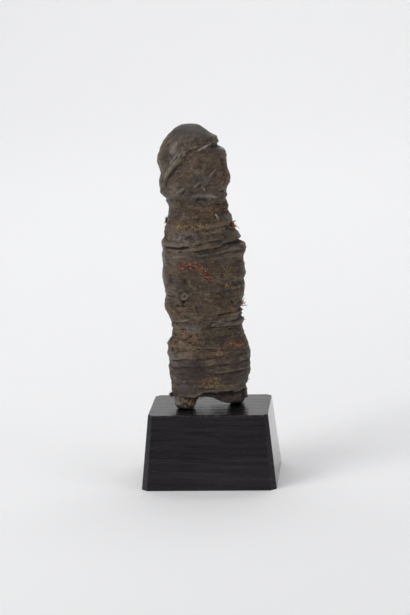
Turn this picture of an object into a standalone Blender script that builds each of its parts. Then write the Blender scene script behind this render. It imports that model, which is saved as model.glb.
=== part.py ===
"""Wrapped wooden figurine on its plinth: metres, +Z up, front towards -Y, origin under the plinth."""

import bmesh
import bpy
import numpy as np

# The plinth, a frustum with its four upright corners planed off.
PLINTH_TOP_WIDTH = 0.0700
PLINTH_TOP_DEPTH = 0.0476
PLINTH_BOTTOM_WIDTH = 0.0792
PLINTH_BOTTOM_DEPTH = 0.0632
PLINTH_HEIGHT = 0.0444
PLINTH_TOP_CHAMFER = 0.0027
PLINTH_BOTTOM_CHAMFER = 0.0036
PLINTH_EASED_EDGE = 0.0004

# The figure, from the plinth's top to the crown. Its sections are shares of this height.
FIGURE_HEIGHT = 0.1670
SECTION_SQUARENESS = 2.3
PIECE_GAP = 0.0003

# The two legs that show under the hem, their feet and the hidden hips, as shares of the figure's height.
LEFT_LEG_X = -0.083 * FIGURE_HEIGHT
LEFT_LEG_Y = -0.035 * FIGURE_HEIGHT
LEFT_FOOT_HALF_WIDTH = 0.032 * FIGURE_HEIGHT
LEFT_FOOT_HALF_DEPTH = 0.042 * FIGURE_HEIGHT
RIGHT_LEG_X = 0.091 * FIGURE_HEIGHT
RIGHT_LEG_Y = 0.018 * FIGURE_HEIGHT
RIGHT_FOOT_HALF_WIDTH = 0.0275 * FIGURE_HEIGHT
RIGHT_FOOT_HALF_DEPTH = 0.031 * FIGURE_HEIGHT
HIPS_BOTTOM = 0.144 * FIGURE_HEIGHT
HIPS_TOP = 0.192 * FIGURE_HEIGHT
HIPS_HALF_WIDTH = 0.108 * FIGURE_HEIGHT
HIPS_HALF_DEPTH = 0.031 * FIGURE_HEIGHT

# A leg from its sole up: height over the sole, as a share of the figure's height, and the share of the
# foot's size there.
LEG_PROFILE = (
    (0.000, 0.72),
    (0.004, 0.90),
    (0.012, 1.00),
    (0.036, 1.02),
    (0.057, 0.94),
    (0.096, 0.82),
    (0.159, 0.80),
)

# How finely the wrapping and the legs are divided. The rows crowd together towards the crown.
POINTS_AROUND = 54
ROWS_UP = 76
CROWN_CROWDING = 0.12
CROWDING_POWER = 7
LEG_POINTS_AROUND = 28

# Outline of the wrapped body, from hem to crown: height, sideways shift, half width, half depth and
# forward shift, each as a share of the figure's height.
BODY_SECTIONS = (
    (0.026, -0.005, 0.131, 0.093, 0.000),
    (0.076, -0.006, 0.130, 0.095, 0.000),
    (0.099, -0.003, 0.134, 0.099, 0.001),
    (0.121, -0.001, 0.139, 0.102, 0.002),
    (0.185, 0.000, 0.143, 0.106, 0.003),
    (0.230, -0.004, 0.139, 0.103, 0.004),
    (0.250, -0.001, 0.130, 0.097, 0.004),
    (0.272, -0.002, 0.122, 0.091, 0.003),
    (0.294, -0.005, 0.121, 0.088, 0.002),
    (0.316, -0.005, 0.125, 0.090, 0.001),
    (0.338, -0.012, 0.126, 0.092, 0.000),
    (0.358, -0.014, 0.134, 0.096, 0.000),
    (0.402, -0.009, 0.132, 0.097, 0.000),
    (0.444, -0.010, 0.138, 0.099, 0.000),
    (0.487, -0.010, 0.141, 0.101, 0.001),
    (0.529, -0.012, 0.138, 0.100, 0.002),
    (0.571, -0.010, 0.140, 0.098, 0.002),
    (0.587, -0.012, 0.138, 0.096, 0.002),
    (0.602, -0.019, 0.128, 0.093, 0.002),
    (0.616, -0.011, 0.129, 0.091, 0.002),
    (0.634, -0.011, 0.128, 0.090, 0.002),
    (0.656, -0.016, 0.122, 0.087, 0.002),
    (0.677, -0.023, 0.107, 0.083, 0.002),
    (0.698, -0.022, 0.101, 0.080, 0.003),
    (0.720, -0.022, 0.101, 0.082, 0.004),
    (0.741, -0.030, 0.103, 0.086, 0.004),
    (0.762, -0.037, 0.112, 0.093, 0.005),
    (0.803, -0.034, 0.116, 0.101, 0.006),
    (0.846, -0.034, 0.114, 0.104, 0.006),
    (0.887, -0.038, 0.116, 0.103, 0.006),
    (0.908, -0.040, 0.109, 0.098, 0.006),
    (0.930, -0.045, 0.096, 0.089, 0.006),
    (0.952, -0.043, 0.084, 0.078, 0.005),
    (0.972, -0.044, 0.067, 0.063, 0.004),
    (0.984, -0.046, 0.053, 0.050, 0.004),
    (0.994, -0.044, 0.036, 0.034, 0.004),
    (1.000, -0.042, 0.000, 0.000, 0.004),
)

# The lower edge of the cloth as seen from the front: sideways place and height over the plinth, as shares
# of the figure's height.
HEM_LINE = (
    (-0.180, 0.056),
    (-0.129, 0.053),
    (-0.108, 0.046),
    (-0.055, 0.046),
    (-0.044, 0.056),
    (-0.012, 0.061),
    (0.030, 0.056),
    (0.066, 0.038),
    (0.090, 0.030),
    (0.129, 0.031),
    (0.180, 0.042),
)


def strip(path, width, thickness):
    """One wound strip or fold. Its path holds degrees to the viewer's right of the front, and heights.

    Heights, width and thickness are shares of the figure's height.
    """
    return np.array(path, float) * (1, FIGURE_HEIGHT), width * FIGURE_HEIGHT, thickness * FIGURE_HEIGHT


# The main carving of the cloth. A negative thickness is a groove. Wraps from -180 to 180 go right round.
STRIPS = (
    # The cap's lower edge over the left cheek, and the strip that rises from there across the brow.
    strip(((-100, 0.898), (-76, 0.886)), 0.048, 0.0048),
    strip(
        ((-62, 0.802), (-46, 0.850), (-22, 0.891), (4, 0.914), (40, 0.935), (60, 0.947)), 0.033, 0.0078
    ),
    # Groove inside the left cheek and the roll of cloth outside it.
    strip(((-19, 0.871), (-35, 0.847), (-48, 0.817), (-54, 0.790), (-46, 0.772)), 0.030, -0.0114),
    strip(((-46, 0.838), (-60, 0.802), (-66, 0.772), (-62, 0.749)), 0.027, 0.0066),
    # Strip that falls from the right temple across the face, and its hollow.
    strip(((58, 0.892), (40, 0.856), (28, 0.820), (14, 0.789)), 0.030, 0.0084),
    strip(((26, 0.835), (18, 0.805), (8, 0.784)), 0.027, -0.0078),
    # Knob, bump and bulge down the right side of the head, and the notch between the first two.
    strip(((64, 0.961), (84, 0.953)), 0.033, 0.0132),
    strip(((76, 0.934), (98, 0.933)), 0.020, -0.0120),
    strip(((76, 0.925), (84, 0.898)), 0.048, 0.0084),
    strip(((82, 0.838), (86, 0.805)), 0.048, 0.0072),
    # The fold under the chin, and the wraps of the neck.
    strip(((-180, 0.756), (-40, 0.753), (18, 0.760), (80, 0.749), (180, 0.756)), 0.020, -0.0048),
    strip(((-180, 0.731), (-56, 0.725), (14, 0.734), (90, 0.728), (180, 0.731)), 0.027, 0.0042),
    strip(((-180, 0.659), (-52, 0.653), (34, 0.657), (100, 0.656), (180, 0.659)), 0.030, 0.0042),
    # The fold over the shoulder band, the band, the groove under it and the knob that ends it.
    strip(((-84, 0.590), (-46, 0.583), (0, 0.593), (50, 0.606), (96, 0.606)), 0.026, -0.0084),
    strip(
        ((-180, 0.566), (-64, 0.556), (0, 0.568), (47, 0.582), (100, 0.582), (180, 0.566)), 0.033, 0.0054
    ),
    strip(((-84, 0.533), (-39, 0.545), (18, 0.553), (60, 0.564)), 0.022, -0.0060),
    strip(((80, 0.578), (96, 0.572)), 0.036, 0.0096),
    # Slack diagonal folds of the chest, plainer at the back.
    strip(((-180, 0.479), (-60, 0.497), (60, 0.473), (180, 0.479)), 0.036, 0.0024),
    # Knot on the belly, the folds that run to it, the line under it and the line across the right side.
    strip(((-80, 0.402), (-58, 0.410), (-33, 0.413)), 0.033, 0.0072),
    strip(((-60, 0.376), (-30, 0.378)), 0.022, -0.0060),
    strip(((20, 0.341), (66, 0.350)), 0.020, -0.0054),
    strip(((-180, 0.371), (-90, 0.368), (0, 0.360), (90, 0.362), (180, 0.371)), 0.042, 0.0036),
    # Wraps of the waist, the hips and the skirt.
    strip(((-180, 0.326), (0, 0.331), (180, 0.326)), 0.030, 0.0036),
    strip(((-180, 0.281), (-72, 0.284), (70, 0.296), (180, 0.281)), 0.022, -0.0030),
    strip(((-180, 0.231), (-90, 0.231), (0, 0.237), (90, 0.225), (180, 0.231)), 0.036, 0.0042),
    strip(((-180, 0.186), (-66, 0.181), (9, 0.199), (52, 0.203), (180, 0.186)), 0.020, -0.0048),
    strip(((-180, 0.153), (-61, 0.150), (17, 0.163), (80, 0.162), (180, 0.153)), 0.030, 0.0036),
    strip(((-180, 0.129), (-67, 0.124), (-11, 0.139), (58, 0.143), (180, 0.129)), 0.020, -0.0042),
)

# A strip is flat over this share of its width, and slopes down to the cloth outside it.
STRIP_FLAT_SHARE = 0.25
STRIP_FOOT_SHARE = 0.62

# The outer layer ends higher at the front right, between these degrees, and leaves the layer under it bare.
OUTER_HEM_HEIGHT = 0.073 * FIGURE_HEIGHT
OUTER_HEM_STEP = 0.010 * FIGURE_HEIGHT
OUTER_HEM_SLOPE = 0.007 * FIGURE_HEIGHT
OUTER_HEM_FROM = -6
OUTER_HEM_TO = 84
OUTER_HEM_BLEND = 8

# Colours, as linear red, green and blue.
PLINTH_COLOUR = (0.022, 0.019, 0.022)
WOOD_COLOUR = (0.105, 0.070, 0.048)
CLOTH_COLOUR = (0.080, 0.062, 0.050)


def smooth_step(values, low, high):
    t = np.clip((values - low) / (high - low), 0, 1)
    return t * t * (3 - 2 * t)


def body_section(height):
    """Shift and half sizes of the wrapped body at a height over the plinth, in metres, without strips."""
    table = np.array(BODY_SECTIONS)
    share = height / FIGURE_HEIGHT
    return [np.interp(share, table[:, 0], column) * FIGURE_HEIGHT for column in table[:, 1:].T]


def relief(turn, height, radius):
    """How far the strips stand out at each turn, in degrees, and height."""
    total = np.zeros_like(turn)
    for path, width, thickness in STRIPS:
        nearest = np.full_like(turn, np.inf)
        for start, end in zip(path[:-1], path[1:]):
            along = np.radians(end[0] - start[0]) * radius
            rise = end[1] - start[1]
            away = np.radians(turn - start[0]) * radius
            up = height - start[1]
            t = np.clip((away * along + up * rise) / (along**2 + rise**2), 0, 1)
            nearest = np.minimum(nearest, np.hypot(away - t * along, up - t * rise))
        total += thickness * smooth_step(-nearest, -width * STRIP_FOOT_SHARE, -width * STRIP_FLAT_SHARE)
    bare = smooth_step(turn, OUTER_HEM_FROM, OUTER_HEM_FROM + OUTER_HEM_BLEND)
    bare *= 1 - smooth_step(turn, OUTER_HEM_TO - OUTER_HEM_BLEND, OUTER_HEM_TO)
    bare *= 1 - smooth_step(height, OUTER_HEM_HEIGHT - OUTER_HEM_SLOPE, OUTER_HEM_HEIGHT)
    return total - OUTER_HEM_STEP * bare


def rings_to_object(name, rings, end_points, colour, roughness):
    """A closed body through rings of points, bottom first, with one point to close it at each end."""
    mesh = bmesh.new()
    grid = [[mesh.verts.new(point) for point in ring] for ring in rings]
    around = len(grid[0])
    for lower, upper in zip(grid[:-1], grid[1:]):
        for i in range(around):
            j = (i + 1) % around
            mesh.faces.new((lower[i], lower[j], upper[j], upper[i]))
    for ring, point in ((grid[0][::-1], end_points[0]), (grid[-1], end_points[1])):
        tip = mesh.verts.new(point)
        for i in range(around):
            mesh.faces.new((ring[i], ring[(i + 1) % around], tip))
    bmesh.ops.recalc_face_normals(mesh, faces=mesh.faces)
    return finish(name, mesh, colour, roughness, True)


def finish(name, mesh, colour, roughness, smooth):
    data = bpy.data.meshes.new(name)
    mesh.to_mesh(data)
    mesh.free()
    data.polygons.foreach_set("use_smooth", [smooth] * len(data.polygons))
    thing = bpy.data.objects.new(name, data)
    bpy.context.scene.collection.objects.link(thing)
    if colour is not None:
        material = bpy.data.materials.new(name + "_material")
        material.use_nodes = True
        shader = material.node_tree.nodes["Principled BSDF"]
        shader.inputs["Base Color"].default_value = (*colour, 1)
        shader.inputs["Roughness"].default_value = roughness
        data.materials.append(material)
    return thing


def helper(thing):
    thing.hide_render = True
    thing.display_type = "WIRE"
    return thing


def combine(thing, other, operation):
    modifier = thing.modifiers.new(operation.lower() + "_" + other.name, "BOOLEAN")
    modifier.operation = operation
    modifier.solver = "EXACT"
    modifier.object = other


def plinth():
    """One block: eight-sided at both ends, its edges eased by a bevel."""
    mesh = bmesh.new()
    rings = []
    for width, depth, chamfer, height in (
        (PLINTH_BOTTOM_WIDTH, PLINTH_BOTTOM_DEPTH, PLINTH_BOTTOM_CHAMFER, 0),
        (PLINTH_TOP_WIDTH, PLINTH_TOP_DEPTH, PLINTH_TOP_CHAMFER, PLINTH_HEIGHT),
    ):
        ring = []
        for side_x, side_y, first in ((1, -1, 0), (1, 1, 1), (-1, 1, 0), (-1, -1, 1)):
            corners = [(width / 2 - chamfer, depth / 2), (width / 2, depth / 2 - chamfer)]
            for x, y in (corners if first == 0 else corners[::-1]):
                ring.append(mesh.verts.new((side_x * x, side_y * y, height)))
        rings.append(ring)
    bottom, top = rings
    mesh.faces.new(bottom[::-1])
    mesh.faces.new(top)
    for i in range(8):
        j = (i + 1) % 8
        mesh.faces.new((bottom[i], bottom[j], top[j], top[i]))
    bmesh.ops.recalc_face_normals(mesh, faces=mesh.faces)
    block = finish("plinth", mesh, PLINTH_COLOUR, 0.28, False)
    bevel = block.modifiers.new("eased_edges", "BEVEL")
    bevel.width = PLINTH_EASED_EDGE
    bevel.segments = 2
    bevel.limit_method = "ANGLE"
    return block


def leg(name, x, y, half_width, half_depth, grow, colour):
    """One leg: a foot with a rounded sole, a drawn-in ankle, and a post that ends inside the hips."""
    turns = np.linspace(0, 2 * np.pi, LEG_POINTS_AROUND, endpoint=False)
    sole = PLINTH_HEIGHT + PIECE_GAP
    rings = []
    for height, share in LEG_PROFILE:
        up = sole + height * FIGURE_HEIGHT
        ring = [
            (x + (half_width * share + grow) * np.sin(t), y - (half_depth * share + grow) * np.cos(t), up)
            for t in turns
        ]
        rings.append(ring)
    ends = ((x, y, sole - grow), (x, y, up))
    return rings_to_object(name, rings, ends, colour, 0.75)


def hips(name, grow):
    """The block that joins the legs, hidden inside the cloth."""
    mesh = bmesh.new()
    bmesh.ops.create_cube(mesh, size=2)
    for corner in mesh.verts:
        corner.co.x *= HIPS_HALF_WIDTH + grow
        corner.co.y *= HIPS_HALF_DEPTH + grow
        corner.co.z *= (HIPS_TOP - HIPS_BOTTOM) / 2 + grow
        corner.co.z += PLINTH_HEIGHT + (HIPS_TOP + HIPS_BOTTOM) / 2
    bmesh.ops.recalc_face_normals(mesh, faces=mesh.faces)
    return helper(finish(name, mesh, None, None, False))


def wooden_figure():
    """Both legs and the hips as one piece, and the cutters that make room for them in the cloth."""
    left = (LEFT_LEG_X, LEFT_LEG_Y, LEFT_FOOT_HALF_WIDTH, LEFT_FOOT_HALF_DEPTH)
    right = (RIGHT_LEG_X, RIGHT_LEG_Y, RIGHT_FOOT_HALF_WIDTH, RIGHT_FOOT_HALF_DEPTH)
    wood = leg("wooden_figure", *left, 0, WOOD_COLOUR)
    combine(wood, helper(leg("right_leg", *right, 0, None)), "UNION")
    combine(wood, hips("hips", 0), "UNION")
    pocket = [
        helper(leg("left_pocket", *left, PIECE_GAP, None)),
        helper(leg("right_pocket", *right, PIECE_GAP, None)),
        hips("hips_pocket", PIECE_GAP),
    ]
    return wood, pocket


def under_the_hem():
    """All that lies under the line of the hem, as one block that runs from front to back."""
    mesh = bmesh.new()
    line = [(x * FIGURE_HEIGHT, PLINTH_HEIGHT + z * FIGURE_HEIGHT) for x, z in HEM_LINE]
    line += [(line[-1][0], 0), (line[0][0], 0)]
    front = [mesh.verts.new((x, -PLINTH_BOTTOM_DEPTH, z)) for x, z in line]
    back = [mesh.verts.new((x, PLINTH_BOTTOM_DEPTH, z)) for x, z in line]
    mesh.faces.new(front)
    mesh.faces.new(back[::-1])
    for i in range(len(line)):
        j = (i + 1) % len(line)
        mesh.faces.new((front[i], front[j], back[j], back[i]))
    bmesh.ops.recalc_face_normals(mesh, faces=mesh.faces)
    return helper(finish("under_the_hem", mesh, None, None, False))


def cloth_wrapping(pocket):
    """The cloth, hardened to one mass, from hem to crown, with the pocket that the legs stand in."""
    lowest = BODY_SECTIONS[0][0] * FIGURE_HEIGHT
    turn = np.linspace(-180, 180, POINTS_AROUND, endpoint=False)
    steps = np.linspace(0, 1, ROWS_UP, endpoint=False)
    shares = steps + CROWN_CROWDING * (steps - steps**CROWDING_POWER)
    heights = lowest + (FIGURE_HEIGHT - lowest) * shares
    rings = []
    for height in heights:
        shift, half_width, half_depth, forward = body_section(height)
        sine, cosine = np.sin(np.radians(turn)), np.cos(np.radians(turn))
        n = SECTION_SQUARENESS
        radius = ((abs(sine) / half_width) ** n + (abs(cosine) / half_depth) ** n) ** (-1 / n)
        radius += relief(turn, np.full_like(turn, height), half_width)
        ring = np.stack(
            [shift + radius * sine, -forward - radius * cosine, np.full_like(turn, PLINTH_HEIGHT + height)],
            axis=1,
        )
        rings.append([tuple(point) for point in ring])
    bottom_shift, _, _, bottom_forward = body_section(lowest)
    top_shift, _, _, top_forward = body_section(FIGURE_HEIGHT)
    ends = (
        (bottom_shift, -bottom_forward, PLINTH_HEIGHT + lowest),
        (top_shift, -top_forward, PLINTH_HEIGHT + FIGURE_HEIGHT),
    )
    cloth = rings_to_object("cloth_wrapping", rings, ends, CLOTH_COLOUR, 0.62)
    combine(cloth, under_the_hem(), "DIFFERENCE")
    for cutter in pocket:
        combine(cloth, cutter, "DIFFERENCE")
    return cloth


for old in list(bpy.data.objects):
    bpy.data.objects.remove(old, do_unlink=True)

plinth()
_, leg_pocket = wooden_figure()
cloth_wrapping(leg_pocket)
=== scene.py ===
import math

import bmesh
import bpy
import numpy as np
from mathutils import Matrix, Vector


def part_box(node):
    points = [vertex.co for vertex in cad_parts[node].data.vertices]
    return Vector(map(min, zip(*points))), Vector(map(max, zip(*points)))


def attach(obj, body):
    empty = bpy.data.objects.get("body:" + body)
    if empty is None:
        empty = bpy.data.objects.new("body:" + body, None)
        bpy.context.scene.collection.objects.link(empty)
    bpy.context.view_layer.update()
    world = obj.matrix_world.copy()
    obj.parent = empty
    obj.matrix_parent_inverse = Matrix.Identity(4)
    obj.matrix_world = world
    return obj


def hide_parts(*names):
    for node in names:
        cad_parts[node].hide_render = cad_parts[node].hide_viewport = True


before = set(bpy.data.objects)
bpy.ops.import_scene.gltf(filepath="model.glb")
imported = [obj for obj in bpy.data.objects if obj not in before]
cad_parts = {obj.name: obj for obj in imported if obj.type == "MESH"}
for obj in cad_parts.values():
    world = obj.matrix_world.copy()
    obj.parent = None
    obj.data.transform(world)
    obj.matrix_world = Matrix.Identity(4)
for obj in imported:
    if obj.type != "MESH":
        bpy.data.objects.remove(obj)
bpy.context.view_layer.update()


# The plinth: one block of open-grained hardwood, stained black and lacquered to a satin gloss. Its sides
# lean in, its upright corners are planed off and its edges are eased. It stands on its underside and the
# figure stands on its polished top.
class Wire:
    """A socket of a material. Sums, products and limits of wires add the nodes that work them out."""

    def __init__(self, tree, socket):
        self.tree = tree
        self.socket = socket

    def maths(self, operation, *others, clamp=False):
        settings = {"operation": operation, "use_clamp": clamp}
        return add_node(self.tree, "ShaderNodeMath", settings, [self, *others])

    def __add__(self, other):
        return self.maths("ADD", other)

    def __radd__(self, other):
        return self.maths("ADD", other)

    def __sub__(self, other):
        return self.maths("SUBTRACT", other)

    def __rsub__(self, other):
        return (self * -1.0).maths("ADD", other)

    def __mul__(self, other):
        return self.maths("MULTIPLY", other)

    def __rmul__(self, other):
        return self.maths("MULTIPLY", other)

    def __truediv__(self, other):
        return self.maths("DIVIDE", other)

    def limited(self):
        return self.maths("ADD", 0.0, clamp=True)

    def between(self, low, high):
        """0 below low and 1 above high, with a smooth change between them."""
        settings = {"interpolation_type": "SMOOTHSTEP"}
        inputs = {"Value": self, "From Min": low, "From Max": high, "To Min": 0.0, "To Max": 1.0}
        return add_node(self.tree, "ShaderNodeMapRange", settings, inputs)


def add_node(tree, kind, settings, inputs, output=0):
    """Any node: its settings first, then the values or wires of its sockets, and one of its outputs."""
    made = tree.nodes.new(kind)
    for name, value in settings.items():
        if name == "stops":
            ramp = made.color_ramp
            while len(ramp.elements) < len(value):
                ramp.elements.new(0.5)
            for element, (place, colour) in zip(ramp.elements, value):
                element.position = place
                element.color = (*colour, 1)
        else:
            setattr(made, name, value)
    for key, value in inputs.items() if isinstance(inputs, dict) else enumerate(inputs):
        socket = made.inputs[key]
        if isinstance(value, Wire):
            tree.links.new(value.socket, socket)
        elif socket.type == "RGBA":
            socket.default_value = (*value, 1)
        else:
            socket.default_value = value
    return Wire(tree, made.outputs[output])


class Finish:
    """One material, with the few kinds of node that its pattern is made of."""

    def __init__(self, name, **constants):
        self.material = bpy.data.materials.new(name)
        self.material.use_nodes = True
        self.tree = self.material.node_tree
        self.shader = self.tree.nodes["Principled BSDF"]
        self.place = add_node(self.tree, "ShaderNodeTexCoord", {}, {}, "Object")
        for socket, value in constants.items():
            self.shader.inputs[socket.replace("_", " ")].default_value = value

    def scaled(self, place, scale, turned=(0, 0, 0)):
        return add_node(
            self.tree, "ShaderNodeMapping", {}, {"Vector": place, "Scale": scale, "Rotation": turned}
        )

    def noise(self, place, scale, detail=2.0, roughness=0.5, bent=0.0):
        inputs = {"Vector": place, "Scale": scale, "Detail": detail, "Roughness": roughness}
        inputs["Distortion"] = bent
        return add_node(self.tree, "ShaderNodeTexNoise", {}, inputs)

    def specks(self, place, scale):
        return add_node(self.tree, "ShaderNodeTexVoronoi", {}, {"Vector": place, "Scale": scale})

    def ramp(self, value, *stops):
        return add_node(self.tree, "ShaderNodeValToRGB", {"stops": stops}, [value])

    def mix(self, share, first, second, blend="MIX"):
        settings = {"data_type": "RGBA", "blend_type": blend}
        return add_node(self.tree, "ShaderNodeMix", settings, {0: share, 6: first, 7: second}, 2)

    def spread(self, name):
        return add_node(self.tree, "ShaderNodeAttribute", {"attribute_name": name}, {}, "Fac")

    def parts(self, place):
        first = add_node(self.tree, "ShaderNodeSeparateXYZ", {}, [place])
        return [Wire(self.tree, socket) for socket in first.socket.node.outputs]

    def finish(self, colour, roughness, heights, coat=None):
        """Feeds the shader. Heights holds (height, strength, depth in metres), coarse ones first."""
        self.tree.links.new(colour.socket, self.shader.inputs["Base Color"])
        self.tree.links.new(roughness.socket, self.shader.inputs["Roughness"])
        if coat:
            self.tree.links.new(coat.socket, self.shader.inputs["Coat Weight"])
        under = None
        for height, strength, depth in heights:
            inputs = {"Height": height, "Strength": strength, "Distance": depth}
            if under is not None:
                inputs["Normal"] = under
            under = add_node(self.tree, "ShaderNodeBump", {}, inputs)
        self.tree.links.new(under.socket, self.shader.inputs["Normal"])
        return self.material


def black_lacquer():
    wood = Finish("black_lacquered_wood", IOR=1.43)
    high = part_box("plinth")[1]
    slow_bend = wood.noise(wood.scaled(wood.place, (12, 40, 40)), 1.0, 2.0) * 0.9
    grain_place = wood.scaled(wood.place, (17, 400, 400))
    bent_place = add_node(
        wood.tree, "ShaderNodeVectorMath", {"operation": "ADD"}, {0: grain_place, 1: slow_bend}
    )
    grain = wood.noise(bent_place, 1.0, 3.0, 0.62)
    pores = wood.noise(wood.scaled(wood.place, (90, 1900, 1900)), 1.0, 2.0, 0.5).between(0.60, 0.72)
    cloudy = wood.noise(wood.place, 38.0, 3.0, 0.6)
    tone = wood.ramp(
        grain,
        (0.30, (0.0085, 0.0068, 0.0083)),
        (0.52, (0.0150, 0.0122, 0.0150)),
        (0.72, (0.0270, 0.0218, 0.0262)),
    )
    tone = wood.mix(pores * 0.8, tone, (0.0040, 0.0032, 0.0038))
    # How far a point lies inside the faces, which lean in by 4.6 and 7.8 mm, tells where the worn edges are.
    x, y, z = wood.parts(wood.place)
    lean = z / high.z
    inside_width = lean * -0.0046 + high.x - x.maths("ABSOLUTE")
    inside_depth = lean * -0.0078 + high.y - y.maths("ABSOLUTE")
    at_side = 1.0 - inside_width.between(0.0003, 0.0011)
    at_front = 1.0 - inside_depth.between(0.0003, 0.0011)
    at_top = z.between(high.z - 0.0011, high.z - 0.0003)
    edge = (at_side * at_front + at_side * at_top + at_front * at_top).limited()
    worn = edge * wood.noise(wood.place, 260.0, 3.0, 0.7).between(0.42, 0.66)
    tone = wood.mix(worn * 0.55, tone, (0.060, 0.047, 0.044))
    dust = 1.0 - wood.specks(wood.place, 420.0).between(0.045, 0.085)
    dust = dust * wood.noise(wood.place, 55.0, 1.0).between(0.54, 0.66)
    tone = wood.mix(dust * 0.5, tone, (0.16, 0.15, 0.145))
    # The two ends are glossier. The other faces show the grain most on the top.
    end_coat = 1.0 - inside_width.between(0.00010, 0.00035)
    roughness = cloudy * 0.12 + grain * 0.15 + 0.105 + pores * 0.18 + worn * 0.15 + dust * 0.3
    top_face = z.between(high.z - 0.0006, high.z - 0.0002)
    heights = ((grain * (top_face * 0.72 + 0.28), 0.75, 0.00030), (1.0 - pores, 0.30, 0.00006))
    return wood.finish(tone, roughness, heights, end_coat * 0.6)


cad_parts["plinth"].data.materials.clear()
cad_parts["plinth"].data.materials.append(black_lacquer())


# The carved figure itself, of which only the two feet show under the cloth: the left foot as a squarish
# block with a rounded sole, the right one as a low nub. The wood is old, dry and darkened, with a paler
# rubbed patch. The legs join in a plain block that the cloth hides. Sizes are in metres here.
PLINTH_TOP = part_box("plinth")[1].z
FIGURE_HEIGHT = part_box("cloth_wrapping")[1].z - PLINTH_TOP
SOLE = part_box("wooden_figure")[0].z
LEG_RINGS = (
    (0.0000, 0.62), (0.0004, 0.76), (0.0011, 0.89), (0.0022, 1.00), (0.0040, 1.07), (0.0058, 1.06),
    (0.0074, 0.98), (0.0100, 0.88), (0.0140, 0.83), (0.0190, 0.81), (0.0262, 0.80),
)
FEET = ((-0.0140, -0.0058, 0.0060, 0.0070), (0.0152, 0.0044, 0.0046, 0.0052))
FOOT_SQUARENESS = 0.72
HIPS = (0.0180, 0.0052, 0.0240, 0.0320)
SKIN_CELL = 0.00038


def lattice(seed, places, cell):
    """Smooth unevenness from about -1 to 1 at each place, from a seeded three-way lattice of that cell."""
    values = np.random.default_rng(seed).uniform(-1, 1, (32, 32, 32))
    scaled = np.asarray(places) / cell + 1000
    first = np.floor(scaled).astype(int)
    part = scaled - first
    part = part * part * (3 - 2 * part)
    total = np.zeros(len(scaled))
    for corner in np.ndindex(2, 2, 2):
        index = (first + corner) % 32
        weight = np.prod(np.where(corner, part, 1 - part), axis=1)
        total += weight * values[index[:, 0], index[:, 1], index[:, 2]]
    return total


def shaped(name, mesh, material, stands_for=None):
    """Turns a bmesh into a smooth piece at the origin that rides on the only body."""
    data = bpy.data.meshes.new(name)
    mesh.to_mesh(data)
    mesh.free()
    data.polygons.foreach_set("use_smooth", [True] * len(data.polygons))
    data.materials.append(material)
    piece = bpy.data.objects.new(name, data)
    bpy.context.scene.collection.objects.link(piece)
    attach(piece, "root")
    if stands_for:
        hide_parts(stands_for)
    return piece


def carved_feet():
    wood = bmesh.new()
    for x, y, half_width, half_depth in FEET:
        ring = bmesh.ops.create_circle(wood, cap_ends=True, radius=1, segments=40)["verts"]
        last_share = 1.0
        last_height = 0.0
        for corner in ring:
            corner.co.x = math.copysign(abs(corner.co.x) ** FOOT_SQUARENESS, corner.co.x)
            corner.co.y = math.copysign(abs(corner.co.y) ** FOOT_SQUARENESS, corner.co.y)
        bmesh.ops.scale(wood, vec=(half_width, half_depth, 1), verts=ring)
        bmesh.ops.translate(wood, vec=(x, y, SOLE), verts=ring)
        middle = Matrix.Translation((-x, -y, 0))
        for height, share in LEG_RINGS:
            if height:
                edges = [edge for edge in wood.edges if all(end in ring for end in edge.verts)]
                made = bmesh.ops.extrude_edge_only(wood, edges=edges)["geom"]
                ring = [part for part in made if isinstance(part, bmesh.types.BMVert)]
            size = share / last_share
            bmesh.ops.scale(wood, vec=(size, size, 1), verts=ring, space=middle)
            bmesh.ops.translate(wood, vec=(0, 0, height - last_height), verts=ring)
            last_share, last_height = share, height
        bmesh.ops.contextual_create(wood, geom=[e for e in wood.edges if all(v in ring for v in e.verts)])
    half_width, half_depth, bottom, top = HIPS
    block = bmesh.ops.create_cube(wood, size=1)["verts"]
    bmesh.ops.scale(wood, vec=(half_width * 2, half_depth * 2, top - bottom), verts=block)
    bmesh.ops.translate(wood, vec=(0, 0, PLINTH_TOP + (bottom + top) / 2), verts=block)
    bmesh.ops.recalc_face_normals(wood, faces=wood.faces)
    rough = bpy.data.meshes.new("rough_feet")
    wood.to_mesh(rough)
    wood.free()
    whole = bpy.data.objects.new("rough_feet", rough)
    bpy.context.scene.collection.objects.link(whole)
    remesh = whole.modifiers.new("one_skin", "REMESH")
    remesh.mode = "VOXEL"
    remesh.voxel_size = SKIN_CELL
    graph = bpy.context.evaluated_depsgraph_get()
    skin = bpy.data.meshes.new_from_object(whole.evaluated_get(graph))
    bpy.data.objects.remove(whole)
    wood = bmesh.new()
    wood.from_mesh(skin)
    bmesh.ops.smooth_vert(
        wood, verts=wood.verts, factor=0.5, use_axis_x=True, use_axis_y=True, use_axis_z=True
    )
    wood.normal_update()
    places = np.array([corner.co for corner in wood.verts])
    upright_grain = places * (1, 1, 0.22)
    depth = 0.00070 * lattice(3, places, 0.0036) + 0.00042 * lattice(4, places, 0.0015)
    depth += 0.00016 * lattice(5, upright_grain, 0.0006)
    depth -= 0.00045 * np.clip(lattice(6, places, 0.0021) - 0.35, 0, 1)
    for corner, push in zip(wood.verts, depth):
        corner.co += corner.normal * float(push)
        corner.co.z = max(corner.co.z, PLINTH_TOP)
    return shaped("carved_feet", wood, dark_dry_wood(), "wooden_figure")


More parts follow.
